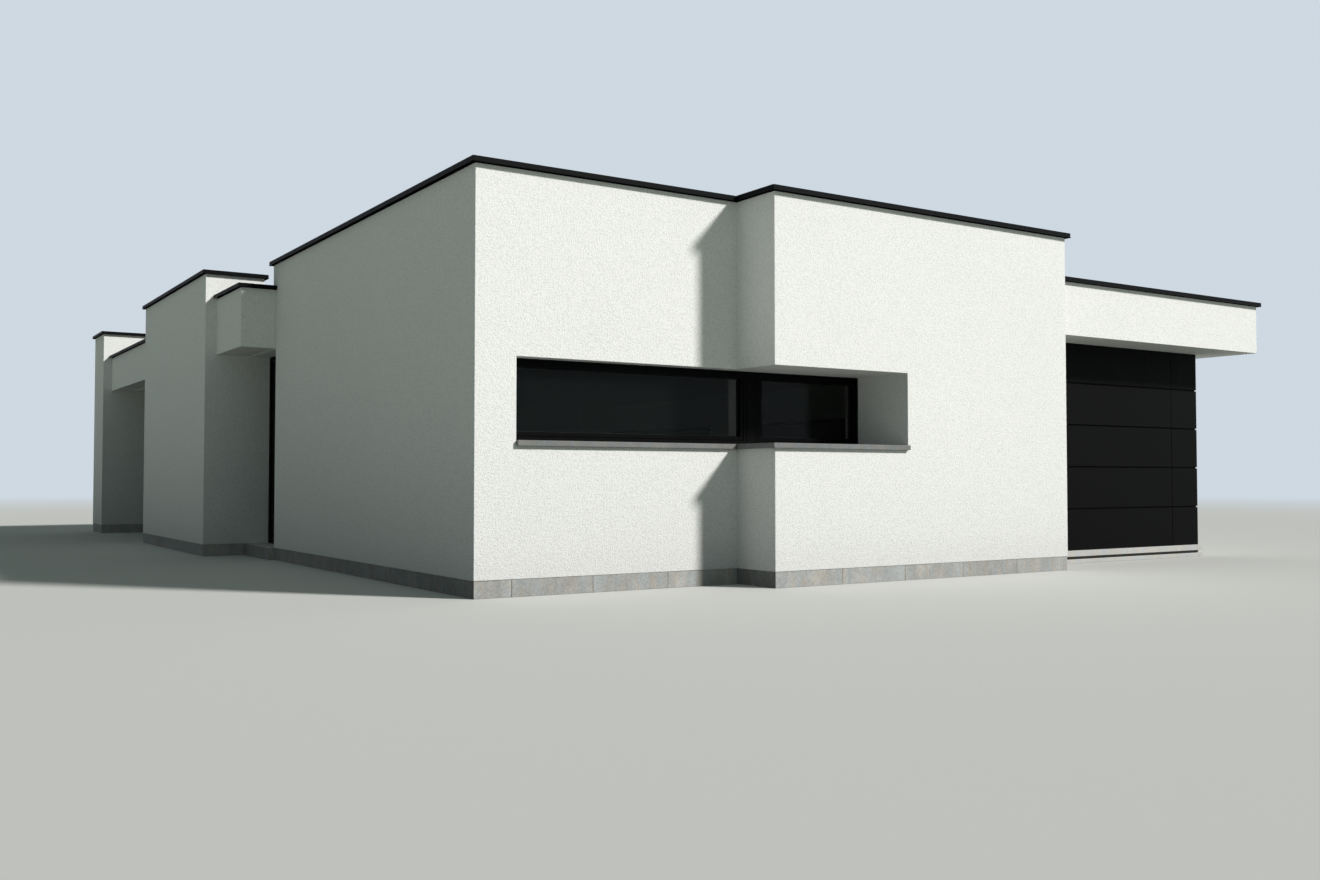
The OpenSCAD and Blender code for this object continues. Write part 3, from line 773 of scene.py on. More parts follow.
def joined(
    name: str, nodes: Sequence[str], *finishes: Finish, fillets: Solid | None = None
) -> bpy.types.Object:
    """One seamless body from copies of CAD nodes.

    Args:
        name: The piece's name.
        nodes: The nodes that are joined.
        finishes: The piece's finishes.
        fillets: Hidden bodies that are joined too, where two nodes meet only along a line.

    Returns:
        The object.
    """
    parts = []
    for node in nodes:
        copy = bpy.data.meshes.new(f"{name}_{node}")
        body = cad_copy(node)
        body.to_mesh(copy)
        body.free()
        parts.append(shown(f"{name}_{node}", copy))
    if fillets:
        parts.append(fillets.piece(f"{name}_fillets"))
    for part in parts[1:]:
        step = parts[0].modifiers.new(part.name, "BOOLEAN")
        step.object, step.operation, step.solver = part, "UNION", "EXACT"
    mesh = evaluated_mesh(parts[0])
    for part in parts:
        bpy.data.objects.remove(part)
    with opened(mesh) as body:
        clean(body)
    mesh.name = name
    return shown(name, mesh, *finishes)


def soften(piece: bpy.types.Object, width: float, segments: int = 2, angle: float = 40.0) -> bpy.types.Object:
    """Rounds a piece's edges.

    Args:
        piece: The piece.
        width: The rounding's width.
        segments: How many faces it has.
        angle: The smallest angle that is rounded, in degrees.

    Returns:
        The piece.
    """
    step = piece.modifiers.new("rounded_edges", "BEVEL")
    step.width, step.segments, step.limit_method = width, segments, "ANGLE"
    step.angle_limit = math.radians(angle)
    piece.modifiers.new("closed_seams", "WELD").merge_threshold = MERGE
    return piece


def drawing(runs: Iterable[Sequence[Vector]]) -> bpy.types.Mesh:
    """A mesh of points and edges only.

    Args:
        runs: Chains of points. A chain of one is a lone point.

    Returns:
        The mesh.
    """
    points: list[Vector] = []
    edges: list[tuple[int, int]] = []
    for run in runs:
        start = len(points)
        points += run
        edges += [(start + i, start + i + 1) for i in range(len(run) - 1)]
    mesh = bpy.data.meshes.new("drawing")
    mesh.from_pydata(points, edges, [])
    return mesh


def divided(a: Vector, b: Vector, longest: float) -> list[Run]:
    """Cuts a run into equal lengths, as few as stay within the longest."""
    n = max(1, math.ceil((b - a).length / longest - ROUNDING))
    return [(a.lerp(b, i / n), a.lerp(b, (i + 1) / n)) for i in range(n)]


# Geometry Nodes


class GeometryTree:
    """A Geometry Nodes tree with named inputs, whose result is kept as a plain mesh."""

    sockets = {float: "NodeSocketFloat", int: "NodeSocketInt", bpy.types.Material: "NodeSocketMaterial"}
    inputs: dict[str, type] = {}

    def __init__(self, name: str) -> None:
        """Builds the tree.

        Args:
            name: The tree's name.
        """
        self.tree = bpy.data.node_groups.new(name, "GeometryNodeTree")
        outside = self.tree.interface
        for side in ("INPUT", "OUTPUT"):
            outside.new_socket("Geometry", in_out=side, socket_type="NodeSocketGeometry")
        self.identifiers = {
            key: outside.new_socket(key, in_out="INPUT", socket_type=self.sockets[kind]).identifier
            for key, kind in {**self.inputs, "Finish": bpy.types.Material}.items()
        }
        graph = Graph(self.tree)
        entry = graph.node("NodeGroupInput")
        plain = graph.node("GeometryNodeRealizeInstances", {0: self.wire(graph, entry)})
        flat = graph.node("GeometryNodeSetShadeSmooth", {0: plain, "Shade Smooth": False})
        dressed = graph.node("GeometryNodeSetMaterial", {0: flat, "Material": entry.outputs["Finish"]})
        graph.node("NodeGroupOutput", {0: dressed})

    def wire(self, graph: Graph, entry: bpy.types.Node) -> bpy.types.Node:
        """Wires the tree's own part, from its Group Input to the node with the geometry."""
        raise NotImplementedError

    def curves(self, graph: Graph, entry: bpy.types.Node) -> bpy.types.Node:
        """Wires the drawing's edges to curves with level normals."""
        drawn = graph.node("GeometryNodeMeshToCurve", {0: entry.outputs["Geometry"]})
        return graph.node("GeometryNodeSetCurveNormal", {0: drawn}, mode="Z_UP")

    def grow(
        self, name: str, runs: Iterable[Sequence[Vector]], finish: Finish, **values: float
    ) -> bpy.types.Object:
        """Runs the tree on a drawing.

        Args:
            name: The piece's name.
            runs: The drawing's chains of points.
            finish: The piece's finish.
            values: The tree's inputs by name. One that is left out is 0.

        Returns:
            The finished piece, without modifiers.
        """
        seed = placed(f"{name}_drawing", drawing(runs))
        step = seed.modifiers.new(self.tree.name, "NODES")
        step.node_group = self.tree
        for key, value in {**values, "Finish": finish.material()}.items():
            step[self.identifiers[key]] = value
        mesh = evaluated_mesh(seed)
        bpy.data.objects.remove(seed)
        with opened(mesh) as body:
            bmesh.ops.recalc_face_normals(body, faces=body.faces)
        mesh.name = name
        return shown(name, mesh, finish)


class Lengths(GeometryTree):
    """Gives every edge of a drawing a rectangular section, with half a joint left off each end."""

    inputs = {"Width": float, "Height": float, "Joint": float, "Seed": int}

    def wire(self, graph: Graph, entry: bpy.types.Node) -> bpy.types.Node:
        """Wires edges to trimmed curves to bars, each with a tone of its own from -1 to 1.

        Args:
            graph: The tree.
            entry: Its Group Input.

        Returns:
            The node with the bars.
        """
        length = graph.node("GeometryNodeSplineLength").outputs["Length"]
        half = graph.times(entry.outputs["Joint"], 0.5)
        ends = {0: self.curves(graph, entry), 4: half, 5: graph.math("SUBTRACT", length, half)}
        trimmed = graph.node("GeometryNodeTrimCurve", ends, mode="LENGTH")
        draw = {"Seed": entry.outputs["Seed"], 2: -1.0, 3: 1.0}
        chance = graph.node("FunctionNodeRandomValue", draw, data_type="FLOAT").outputs[1]
        tone = {0: trimmed, "Name": "tone", "Value": chance}
        toned = graph.node("GeometryNodeStoreNamedAttribute", tone, data_type="FLOAT", domain="CURVE")
        sides = {side: entry.outputs[side] for side in ("Width", "Height")}
        section = graph.node("GeometryNodeCurvePrimitiveQuadrilateral", sides, mode="RECTANGLE")
        swept = {"Curve": toned, "Profile Curve": section, "Fill Caps": True}
        return graph.node("GeometryNodeCurveToMesh", swept)


class Fixings(GeometryTree):
    """Puts a round head at even distances along the edges of a drawing, level and square to the edge."""

    inputs = {"Spacing": float, "Radius": float, "Height": float}
    facets = 10

    def wire(self, graph: Graph, entry: bpy.types.Node) -> bpy.types.Node:
        """Wires edges to points to heads, turned from along the edge to square to it.

        Args:
            graph: The tree.
            entry: Its Group Input.

        Returns:
            The node with the heads.
        """
        steps = {0: self.curves(graph, entry), "Length": entry.outputs["Spacing"]}
        marks = graph.node("GeometryNodeCurveToPoints", steps, mode="LENGTH")
        sizes = {"Vertices": self.facets, "Radius": entry.outputs["Radius"], "Depth": entry.outputs["Height"]}
        head = graph.node("GeometryNodeMeshCylinder", sizes)
        quarter = graph.node("FunctionNodeEulerToRotation", {0: (0.0, math.pi / 2, 0.0)})
        turns = {0: marks.outputs["Rotation"], 1: quarter}
        square = graph.node("FunctionNodeRotateRotation", turns, rotation_space="LOCAL")
        spread = {"Points": marks, "Instance": head, "Rotation": square}
        return graph.node("GeometryNodeInstanceOnPoints", spread)


class Basket(GeometryTree):
    """A round basket of upright bars between two rings, with a lid, as on a roof outlet."""

    inputs = {"Radius": float, "Height": float, "Bar": float, "Bars": int}
    bar_facets = 6
    lid_facets = 24
    # The rings' thickness as a share of the bars'
    stout = 1.6

    def wire(self, graph: Graph, entry: bpy.types.Node) -> bpy.types.Node:
        """Wires points to baskets.

        Args:
            graph: The tree.
            entry: Its Group Input.

        Returns:
            The node with the baskets.
        """
        radius, height, bar, bars = (entry.outputs[key] for key in self.inputs)
        rim = graph.node("GeometryNodeCurvePrimitiveCircle", {"Resolution": bars, "Radius": radius})
        feet = graph.node("GeometryNodeCurveToPoints", {0: rim}, mode="EVALUATED")
        upright = {"Vertices": self.bar_facets, "Radius": bar, "Depth": height}
        fence = {"Points": feet, "Instance": graph.node("GeometryNodeMeshCylinder", upright)}
        round_bar = {"Resolution": self.bar_facets, "Radius": graph.times(bar, self.stout)}
        section = graph.node("GeometryNodeCurvePrimitiveCircle", round_bar)
        ring = graph.node("GeometryNodeCurveToMesh", {"Curve": rim, "Profile Curve": section})
        disc = {"Vertices": self.lid_facets, "Radius": radius, "Depth": bar}
        lid = graph.node("GeometryNodeMeshCylinder", disc)
        basket = graph.node("GeometryNodeJoinGeometry")
        graph.fill(basket, {0: graph.node("GeometryNodeInstanceOnPoints", fence)})
        for part, share in ((ring, -0.5), (ring, 0.5), (lid, 0.5)):
            level = graph.node("ShaderNodeCombineXYZ", {2: graph.times(height, share)})
            graph.fill(basket, {0: graph.node("GeometryNodeTransform", {0: part, "Translation": level})})
        spread = {"Points": entry.outputs["Geometry"], "Instance": basket}
        return graph.node("GeometryNodeInstanceOnPoints", spread)


# The house


class Facing(Enum):
    """Which way an upright surface looks: its outward direction and what is right of it from outside."""

    FRONT = ((0, -1), (1, 0))
    BACK = ((0, 1), (-1, 0))
    LEFT = ((-1, 0), (0, -1))
    RIGHT = ((1, 0), (0, 1))

    def place(self, box: Box) -> Matrix:
        """Local coordinates of a box: X to the right, Y inwards, Z up, from its lower left outer corner.

        Args:
            box: The box, in the shared frame.

        Returns:
            The matrix from local coordinates to the shared frame.
        """
        (ox, oy), (rx, ry) = self.value
        low, high = box
        x = high.x if ox > 0 or rx < 0 else low.x
        y = high.y if oy > 0 or ry < 0 else low.y
        return Matrix(((rx, -ox, 0, x), (ry, -oy, 0, y), (0, 0, 1, low.z), (0, 0, 0, 1)))

    def local(self, box: Box, inner: Box) -> Box:
        """A box in the local coordinates of another.

        Args:
            box: The box that the coordinates start from.
            inner: The box that is turned.

        Returns:
            Its lowest and highest corner there.
        """
        back = self.place(box).inverted()
        a, b = back @ inner[0], back @ inner[1]
        return Vector(map(min, a, b)), Vector(map(max, a, b))


@dataclass
class SubAssembly:
    """A part of the house that makes its own pieces."""

    def build(self) -> None:
        """Makes every piece."""
        raise NotImplementedError

    def keep(self, piece: bpy.types.Object, slot: str, *nodes: str, body: str = "house") -> bpy.types.Object:
        """Attaches a finished piece to the body that it rides on and hides the CAD nodes that it stands for.

        Args:
            piece: The piece.
            slot: The record's material slot. Not used.
            nodes: The CAD nodes that it replaces.
            body: The body that it rides on.

        Returns:
            The piece.
        """
        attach(piece, body)
        if nodes:
            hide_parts(*nodes)
        LOG.info("%s: %s (%d faces)", type(self).__name__, piece.name, len(piece.data.polygons))
        return piece

    def dress(
        self,
        name: str,
        node: str,
        finish: Finish,
        slot: str,
        edge: float,
        segments: int = 2,
        body: str = "house",
    ) -> bpy.types.Object:
        """Makes and keeps the piece that stands for one CAD node, with rounded edges and a finish."""
        return self.keep(soften(joined(name, [node], finish), edge, segments), slot, node, body=body)


def paint(finish: Finish, *nodes: str) -> None:
    """Gives CAD nodes that stay a better finish.

    Args:
        finish: The finish.
        nodes: Their names.
    """
    for node in nodes:
        mesh = frame["nodes"][node].data
        mesh.materials.clear()
        mesh.materials.append(finish.material())


@dataclass
class WallShells(SubAssembly):
    """The rendered walls as two seamless shells, with plaster on the rooms' side."""

    front_nodes: tuple[str, ...] = (
        "front_wall", "bay_front_wall", "bay_side_wall", "bay_soffit_slab", "bay_ledge_slab",
        "bay_cheek_wall", "garage_side_wall", "left_wall", "upper_walls",
    )
    low_nodes: tuple[str, ...] = (
        "west_box_wall", "entrance_canopy", "box_return_walls", "box_upstands", "terrace_lintel",
        "end_box_wall", "north_wall", "east_wall", "garage_pier", "garage_canopy",
    )
    rooms: tuple[str, ...] = (
        "front_room", "bay_room", "rear_rooms", "west_box_room", "end_box_room", "garage_room",
    )
    edge: float = 4 * MM
    # The smallest angle that is rounded, in degrees
    corner: float = 60.0
    fillet: float = 6 * MM
    # How far in front of a face a room is looked for
    reach: float = 20 * MM

    def build(self) -> None:
        """Makes both shells."""
        shells = (
            ("front_block_render", self.front_nodes, None),
            ("garden_and_garage_render", self.low_nodes, self.fillets()),
        )
        for name, nodes, fillets in shells:
            shell = joined(name, nodes, WALL_RENDER, ROOM_PLASTER, fillets=fillets)
            self.plaster(shell)
            self.keep(soften(shell, self.edge, angle=self.corner), "white_render", *nodes)

    def fillets(self) -> Solid:
        """Strips inside the roof slab, where the canopy and the lintel meet the returns only along a line.

        Returns:
            The strips.
        """
        strips = Solid()
        for node, ends in (("entrance_canopy", (1,)), ("terrace_lintel", (-1, 1))):
            low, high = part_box(node)
            for end in ends:
                near = high.y if end > 0 else low.y
                y0, y1 = sorted((near, near + end * self.fillet))
                strips.box((low.x + self.fillet, y0, low.z), (high.x, y1, low.z + self.fillet))
        return strips

    def plaster(self, shell: bpy.types.Object) -> None:
        """Gives the faces that look into a room the plaster.

        Args:
            shell: The shell.
        """
        openings = frame["record"]["physics"]["openings"]
        boxes = [opening["box_m"] for opening in openings if opening["name"] in self.rooms]
        for face in shell.data.polygons:
            ahead = face.center + face.normal * self.reach
            inside = any(all(low[k] <= ahead[k] <= high[k] for k in range(3)) for low, high in boxes)
            face.material_index = 1 if inside else 0


@dataclass
class Stonework(SubAssembly):
    """The plinth's slabs, the sills, the doorstep and the garage threshold."""

    slab: float = 1000 * MM
    joint: float = 3 * MM
    slab_edge: float = 2 * MM
    sill_edge: float = 2 * MM
    step_edge: float = 3 * MM
    # How far the mortar lies behind the slabs' faces, and how far it runs into a stone that it butts on
    recess: float = 4 * MM
    butt: float = 11 * MM
    # Half the thickness of the dark strip of painted shade in the threshold's groove, and how far that runs
    # into the groove's edges
    groove_shade_half: float = 3 * MM
    groove_shade_lap: float = 1 * MM
    slab_seed: int = 7
    mortar_seed: int = 1
    lengths: Lengths = field(default_factory=lambda: Lengths("stone_lengths"))

    def build(self) -> None:
        """Makes every stone piece."""
        self.plinth()
        self.threshold_groove_shade()
        for name, node, finish, slot, edge in (
            ("window_sill_stones", "window_sills", SILL_STONE, "sill_stone", self.sill_edge),
            ("doorstep_stone", "entrance_step", PLINTH_STONE, "plinth_stone", self.step_edge),
            ("garage_threshold_stone", "garage_threshold", THRESHOLD_STONE, "sill_stone", self.step_edge),
        ):
            self.dress(name, node, finish, slot, edge)

    def plinth(self) -> None:
        """Makes the plinth's slabs and the narrower ones of the terrace, with mortar behind their joints."""
        stones = islands("plinth")
        height = (stones[0][1] - stones[0][0]).z
        runs: dict[float, list[Run]] = {}
        for low, high in stones:
            size, middle = high - low, (low + high) / 2
            along = 0 if size.x > size.y else 1
            a, b = middle.copy(), middle.copy()
            a[along], b[along] = low[along], high[along]
            runs.setdefault(round(size[1 - along], 4), []).append((a, b))
        pieces = (("plinth_slabs", ["plinth"]), ("terrace_threshold_slabs", []))
        for (name, nodes), (width, ends) in zip(pieces, sorted(runs.items(), reverse=True)):
            slabs = self.lengths.grow(
                name, [slab for a, b in ends for slab in divided(a, b, self.slab)], PLINTH_STONE,
                Width=width, Height=height, Joint=self.joint, Seed=self.slab_seed,
            )
            self.keep(soften(slabs, self.slab_edge), "plinth_stone", *nodes)
            mortar = self.lengths.grow(
                f"{name}_mortar", [self.bed(a, b, stones) for a, b in ends], MORTAR,
                Width=width - 2 * self.recess, Height=height - self.recess, Seed=self.mortar_seed,
            )
            self.keep(mortar, "plinth_stone")

    def bed(self, a: Vector, b: Vector, stones: Sequence[Box]) -> Run:
        """Where a run's mortar starts and ends: set back, but run into a stone that an end butts on.

        Args:
            a: The run's start.
            b: Its end.
            stones: The boxes of the plinth's stones.

        Returns:
            The mortar's start and end.
        """
        ends = []
        for end, out in ((a, (a - b).normalized()), (b, (b - a).normalized())):
            past = end + out * self.butt
            butts = any(all(low[k] < past[k] < high[k] for k in range(3)) for low, high in stones)
            ends.append(past if butts else end - out * self.recess)
        return ends[0], ends[1]

    def threshold_groove_shade(self) -> None:
        """Lines the back of the groove under the garage threshold's upper edge with a dark strip of painted
        shade.
        """
        body = cad_copy("garage_threshold")
        ys, zs = (sorted({round(v.co[axis], 4) for v in body.verts}) for axis in (1, 2))
        body.free()
        low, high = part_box("garage_threshold")
        # painted shade: a dark strip where the groove lies in shade
        strip = Solid()
        strip.box(
            (low.x + self.recess, ys[1] - self.groove_shade_half, zs[1] - self.groove_shade_lap),
            (high.x - self.recess, ys[1] + self.groove_shade_half, zs[2] + self.groove_shade_lap),
        )
        self.keep(strip.piece("garage_threshold_groove_shade", GROOVE_SHADE), "sill_stone")


@dataclass
class Copings(SubAssembly):
    """Folded aluminium copings, with the straps that show in the joints between their lengths."""

    nodes: tuple[str, ...] = (
        "front_block_coping", "box_copings", "entrance_coping", "terrace_coping", "low_wall_copings",
    )
    edge: float = 1.2 * MM
    sheet: float = 3 * MM
    fold: float = 9 * MM
    # The widest gap that is a joint
    widest: float = 8 * MM

    def build(self) -> None:
        """Makes the copings of every wall."""
        straps = Solid()
        for node in self.nodes:
            self.dress(f"{node}_sheets", node, COPING_COAT, "coping_metal", self.edge, 1)
            self.straps(straps, islands(node))
        self.keep(straps.piece("coping_straps", COPING_COAT), "coping_metal")

    def straps(self, straps: Solid, lengths: Sequence[Box]) -> None:
        """Adds a strap in each joint between two lengths that lie in one line.

        Args:
            straps: What they are added to.
            lengths: The boxes of a node's lengths.
        """
        for (low, high), (next_low, next_high) in permutations(lengths, 2):
            for along, across in ((0, 1), (1, 0)):
                gap = next_low[along] - high[along]
                shift = abs(next_low[across] - low[across]) + abs(next_high[across] - high[across])
                if 0 < gap < self.widest and shift < self.widest:
                    a, b = low.copy(), high.copy()
                    a[along], b[along] = high[along], next_low[along]
                    a[across], b[across] = low[across] + self.fold, high[across] - self.fold
                    b.z -= self.sheet
                    straps.box(a, b)


@dataclass
class Windows(SubAssembly):
    """All windows: frames, and for each pane a seal on either side, its spacer and two drain caps."""

    edge: float = 0.8 * MM
    # How far a pane reaches into its frame, and how deep behind a frame's face it may lie
    glass_in: float = 12 * MM
    deepest: float = 100 * MM
    seal: float = 4 * MM
    seal_depth: float = 3 * MM
    spacer: float = 7 * MM
    # The thickness of each of a unit's two panes
    pane: float = 5 * MM
    cap_w: float = 32 * MM
    cap_h: float = 7 * MM
    cap_t: float = 3 * MM
    cap_inset: float = 260 * MM
    cap_level: float = 16 * MM
    cap_out: float = 0.5 * MM
    cap_seed: int = 1
    lengths: Lengths = field(default_factory=lambda: Lengths("drain_cap_lengths"))

    def build(self) -> None:
        """Makes the pieces of every window."""
        self.window("slot_window", "front_window_frame", "front_window_glass", GLASS)
        self.window("terrace_window", "terrace_window_frame", "terrace_window_glass", GLASS)
        self.window("rear_windows", "rear_window_frames", "rear_window_glass", DIM_GLASS)

    def facing(self, box: Box) -> Facing:
        """Which way a window looks, from where its box is.

        Args:
            box: The frame's box.

        Returns:
            The facing.
        """
        size, middle = box[1] - box[0], (box[0] + box[1]) / 2
        if size.x > size.y:
            return Facing.BACK if middle.y > 0 else Facing.FRONT
        return Facing.RIGHT if middle.x > 0 else Facing.LEFT

    def window(self, name: str, frame_node: str, glass_node: str, glass: Finish) -> None:
        """Makes the frames, seals, spacers and drain caps of one or more windows.

        Args:
            name: What their pieces are called.
            frame_node: The CAD node of their frames.
            glass_node: The CAD node of their panes.
            glass: The panes' finish.
        """
        self.dress(f"{name}_frame_bars", frame_node, FRAME_COAT, "frame_metal", self.edge, 1)
        paint(glass, glass_node)
        seals, spacers = Solid(), Solid()
        caps: list[Run] = []
        panes = islands(glass_node)
        for outer in islands(frame_node):
            facing = self.facing(outer)
            place = seals.place = spacers.place = facing.place(outer)
            for low, high in self.daylight(outer, facing, panes):
                for y0, y1 in ((low.y - self.seal_depth, low.y), (high.y, high.y + self.seal_depth)):
                    self.ring(seals, low, high, self.seal, y0, y1)
                self.ring(spacers, low, high, self.spacer, low.y + self.pane, high.y - self.pane)
                for middle in (low.x + self.cap_inset, high.x - self.cap_inset):
                    ends = (middle - self.cap_w / 2, middle + self.cap_w / 2)
                    caps.append(tuple(place @ Vector((x, -self.cap_out, self.cap_level)) for x in ends))
        self.keep(seals.piece(f"{name}_seals", RUBBER), "frame_metal")
        self.keep(spacers.piece(f"{name}_spacers", SPACER), "frame_metal")
        covers = self.lengths.grow(
            f"{name}_drain_caps", caps, FRAME_COAT, Width=self.cap_t, Height=self.cap_h, Seed=self.cap_seed
        )
        self.keep(soften(covers, self.edge, 1), "frame_metal")

    def daylight(self, outer: Box, facing: Facing, panes: Sequence[Box]) -> list[Box]:
        """The visible part of each pane that is in a frame.

        Args:
            outer: The frame's box.
            facing: Which way it looks.
            panes: The boxes of all panes.

        Returns:
            Its lowest and highest corner, in the frame's local coordinates.
        """
        found = []
        reveal = Vector((self.glass_in, 0.0, self.glass_in))
        for pane in panes:
            low, high = facing.local(outer, pane)
            if 0 <= low.x and high.x <= (outer[1] - outer[0]).xy.length and 0 < low.y < self.deepest:
                found.append((low + reveal, high - reveal))
        return found

    def ring(self, solid: Solid, low: Vector, high: Vector, width: float, y0: float, y1: float) -> None:
        """Adds a flat ring along the inside of a pane's visible edge.

        Args:
            solid: What it is added to.
            low: The pane's lowest local corner.
            high: Its highest local corner.
            width: The ring's width.
            y0: Its front's depth.
            y1: Its back's depth.
        """
        xs = [low.x, low.x + width, high.x - width, high.x]
        zs = [low.z, low.z + width, high.z - width, high.z]
        solid.relief(xs, zs, lambda x, z: None if xs[1] < x < xs[2] and zs[1] < z < zs[2] else y0, y1)


@dataclass
class GarageFront(SubAssembly):
    """The sectional garage door, the cladding beside it and their seals."""

    edge: float = 1.5 * MM
    lip: float = 3 * MM
    lip_h: float = 9 * MM
    # The lip's outline as shares of how far it stands out and of its height
    outline: tuple[Span, ...] = ((0.0, 0.0), (0.0, 1.0), (-0.7, 0.7), (-1.0, 0.2), (-1.0, 0.0))
    recess: float = 14 * MM

    def build(self) -> None:
        """Makes the garage's pieces."""
        self.dress("garage_door_sections", "garage_door", PANEL_COAT, "garage_panel", self.edge)
        self.dress("garage_cladding_panels", "garage_cladding", PANEL_COAT, "garage_panel", self.edge)
        low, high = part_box("garage_door")
        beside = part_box("garage_cladding")[0].x
        side = [(out * self.lip, up * self.lip_h) for out, up in self.outline]
        seals = Solid()
        for level, sign in ((low.z, 1), (high.z, -1)):
            seals.loft([[(x, low.y + out, level + sign * up) for out, up in side] for x in (low.x, high.x)])
        seals.box((high.x, low.y + self.recess, low.z), (beside, low.y + 2 * self.recess, high.z))
        self.keep(seals.piece("garage_door_seals", RUBBER), "garage_panel")


@dataclass
class EntranceDoor(SubAssembly):
    """The entrance door: frame with a seal on its stop, leaf with a weather bar, pull handle and lock."""

    edge: float = 1.2 * MM
    stop_gap: float = 6 * MM
    seal: float = 1 * MM
    seal_h: float = 6 * MM
    # How far the seal's path lies inside the leaf's edge, and its outline as shares of its depth and height
    seal_in: float = 2 * MM
    outline: tuple[Span, ...] = ((0.0, 0.0), (0.0, 1.0), (0.7, 5 / 6), (1.0, 1 / 2), (0.7, 1 / 6))
    bar: float = 18 * MM
    bar_h: float = 30 * MM
    bar_nose: float = 6 * MM
    bar_level: float = 12 * MM
    bar_inset: float = 40 * MM
    bar_edge: float = 1 * MM
    # The lock's rose and core: radius, how far it stands out and how far out it starts
    lock: tuple[tuple[float, float, float], ...] = ((25 * MM, 6 * MM, 0.0), (8 * MM, 9 * MM, 6 * MM))
    lock_edge: float = 1.5 * MM
    lock_beside: float = 50 * MM
    facets: int = 40
    # The smallest angle that stays sharp on round steel, in degrees
    sharp: float = 35.0

    def build(self) -> None:
        """Makes the door's pieces."""
        self.dress("entrance_frame", "entrance_door_frame", FRAME_COAT, "frame_metal", self.edge)
        self.dress(
            "entrance_leaf", "entrance_door_leaf", DOOR_COAT, "door_panel", self.edge, body="entrance_door"
        )
        low, high = max(islands("entrance_door_leaf"), key=lambda box: box[1].z - box[0].z)
        self.weather_bar(low, high)
        self.gasket(low, high)
        self.handle(low)

    def weather_bar(self, low: Vector, high: Vector) -> None:
        """Makes the sloping bar that throws water off the leaf's foot.

        Args:
            low: The leaf's lowest corner.
            high: Its highest corner.
        """
        side = [(0.0, 0.0), (0.0, self.bar_h), (-self.bar, self.bar_nose), (-self.bar, 0.0)]
        foot = low.z + self.bar_level
        ends = (low.y + self.bar_inset, high.y - self.bar_inset)
        weather = Solid()
        weather.loft([[(low.x + x, y, foot + z) for x, z in side] for y in ends])
        bar = soften(weather.piece("entrance_weather_bar", DOOR_COAT), self.bar_edge, 1)
        self.keep(bar, "door_panel", body="entrance_door")

    def gasket(self, low: Vector, high: Vector) -> None:
        """Makes the seal that runs up, over and down the stop, in front of the leaf's edge.

        Args:
            low: The leaf's lowest corner.
            high: Its highest corner.
        """
        section = [(low.x - self.stop_gap + out * self.seal, up * self.seal_h) for out, up in self.outline]
        y0, z0 = low.y + self.seal_in, low.z + self.seal_in
        y1, z1 = high.y - self.seal_in, high.z - self.seal_in
        path = [(y0, z0, 1, 0), (y0, z1, 1, -1), (y1, z1, -1, -1), (y1, z0, -1, 0)]
        seal = Solid()
        seal.loft([[(x, y + t * in_y, z + t * in_z) for x, t in section] for y, z, in_y, in_z in path])
        self.keep(seal.piece("entrance_stop_seal", RUBBER), "frame_metal")

    def handle(self, leaf: Vector) -> None:
        """Makes the pull handle and the lock beside it.

        Args:
            leaf: The leaf's lowest corner.
        """
        handle = joined("entrance_pull_handle", ["entrance_door_handle"], STEEL)
        low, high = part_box("entrance_door_handle")
        middle = (low + high) / 2
        start = Vector((leaf.x, middle.y, 0.0))
        lock = Solid(Facing.LEFT.place((start, start)))
        turn = [math.tau * i / self.facets for i in range(self.facets)]
        for radius, out, back in self.lock:
            discs = ((-back, radius), (self.lock_edge - out, radius), (-out, radius - self.lock_edge))
            lock.loft([
                [(self.lock_beside + r * math.cos(t), y, middle.z + r * math.sin(t)) for t in turn]
                for y, r in discs
            ])
        for piece, nodes in ((handle, ["entrance_door_handle"]), (lock.piece("entrance_lock", STEEL), [])):
            piece.data.shade_smooth()
            piece.data.set_sharp_from_angle(angle=math.radians(self.sharp))
            self.keep(piece, "handle_steel", *nodes, body="entrance_door")


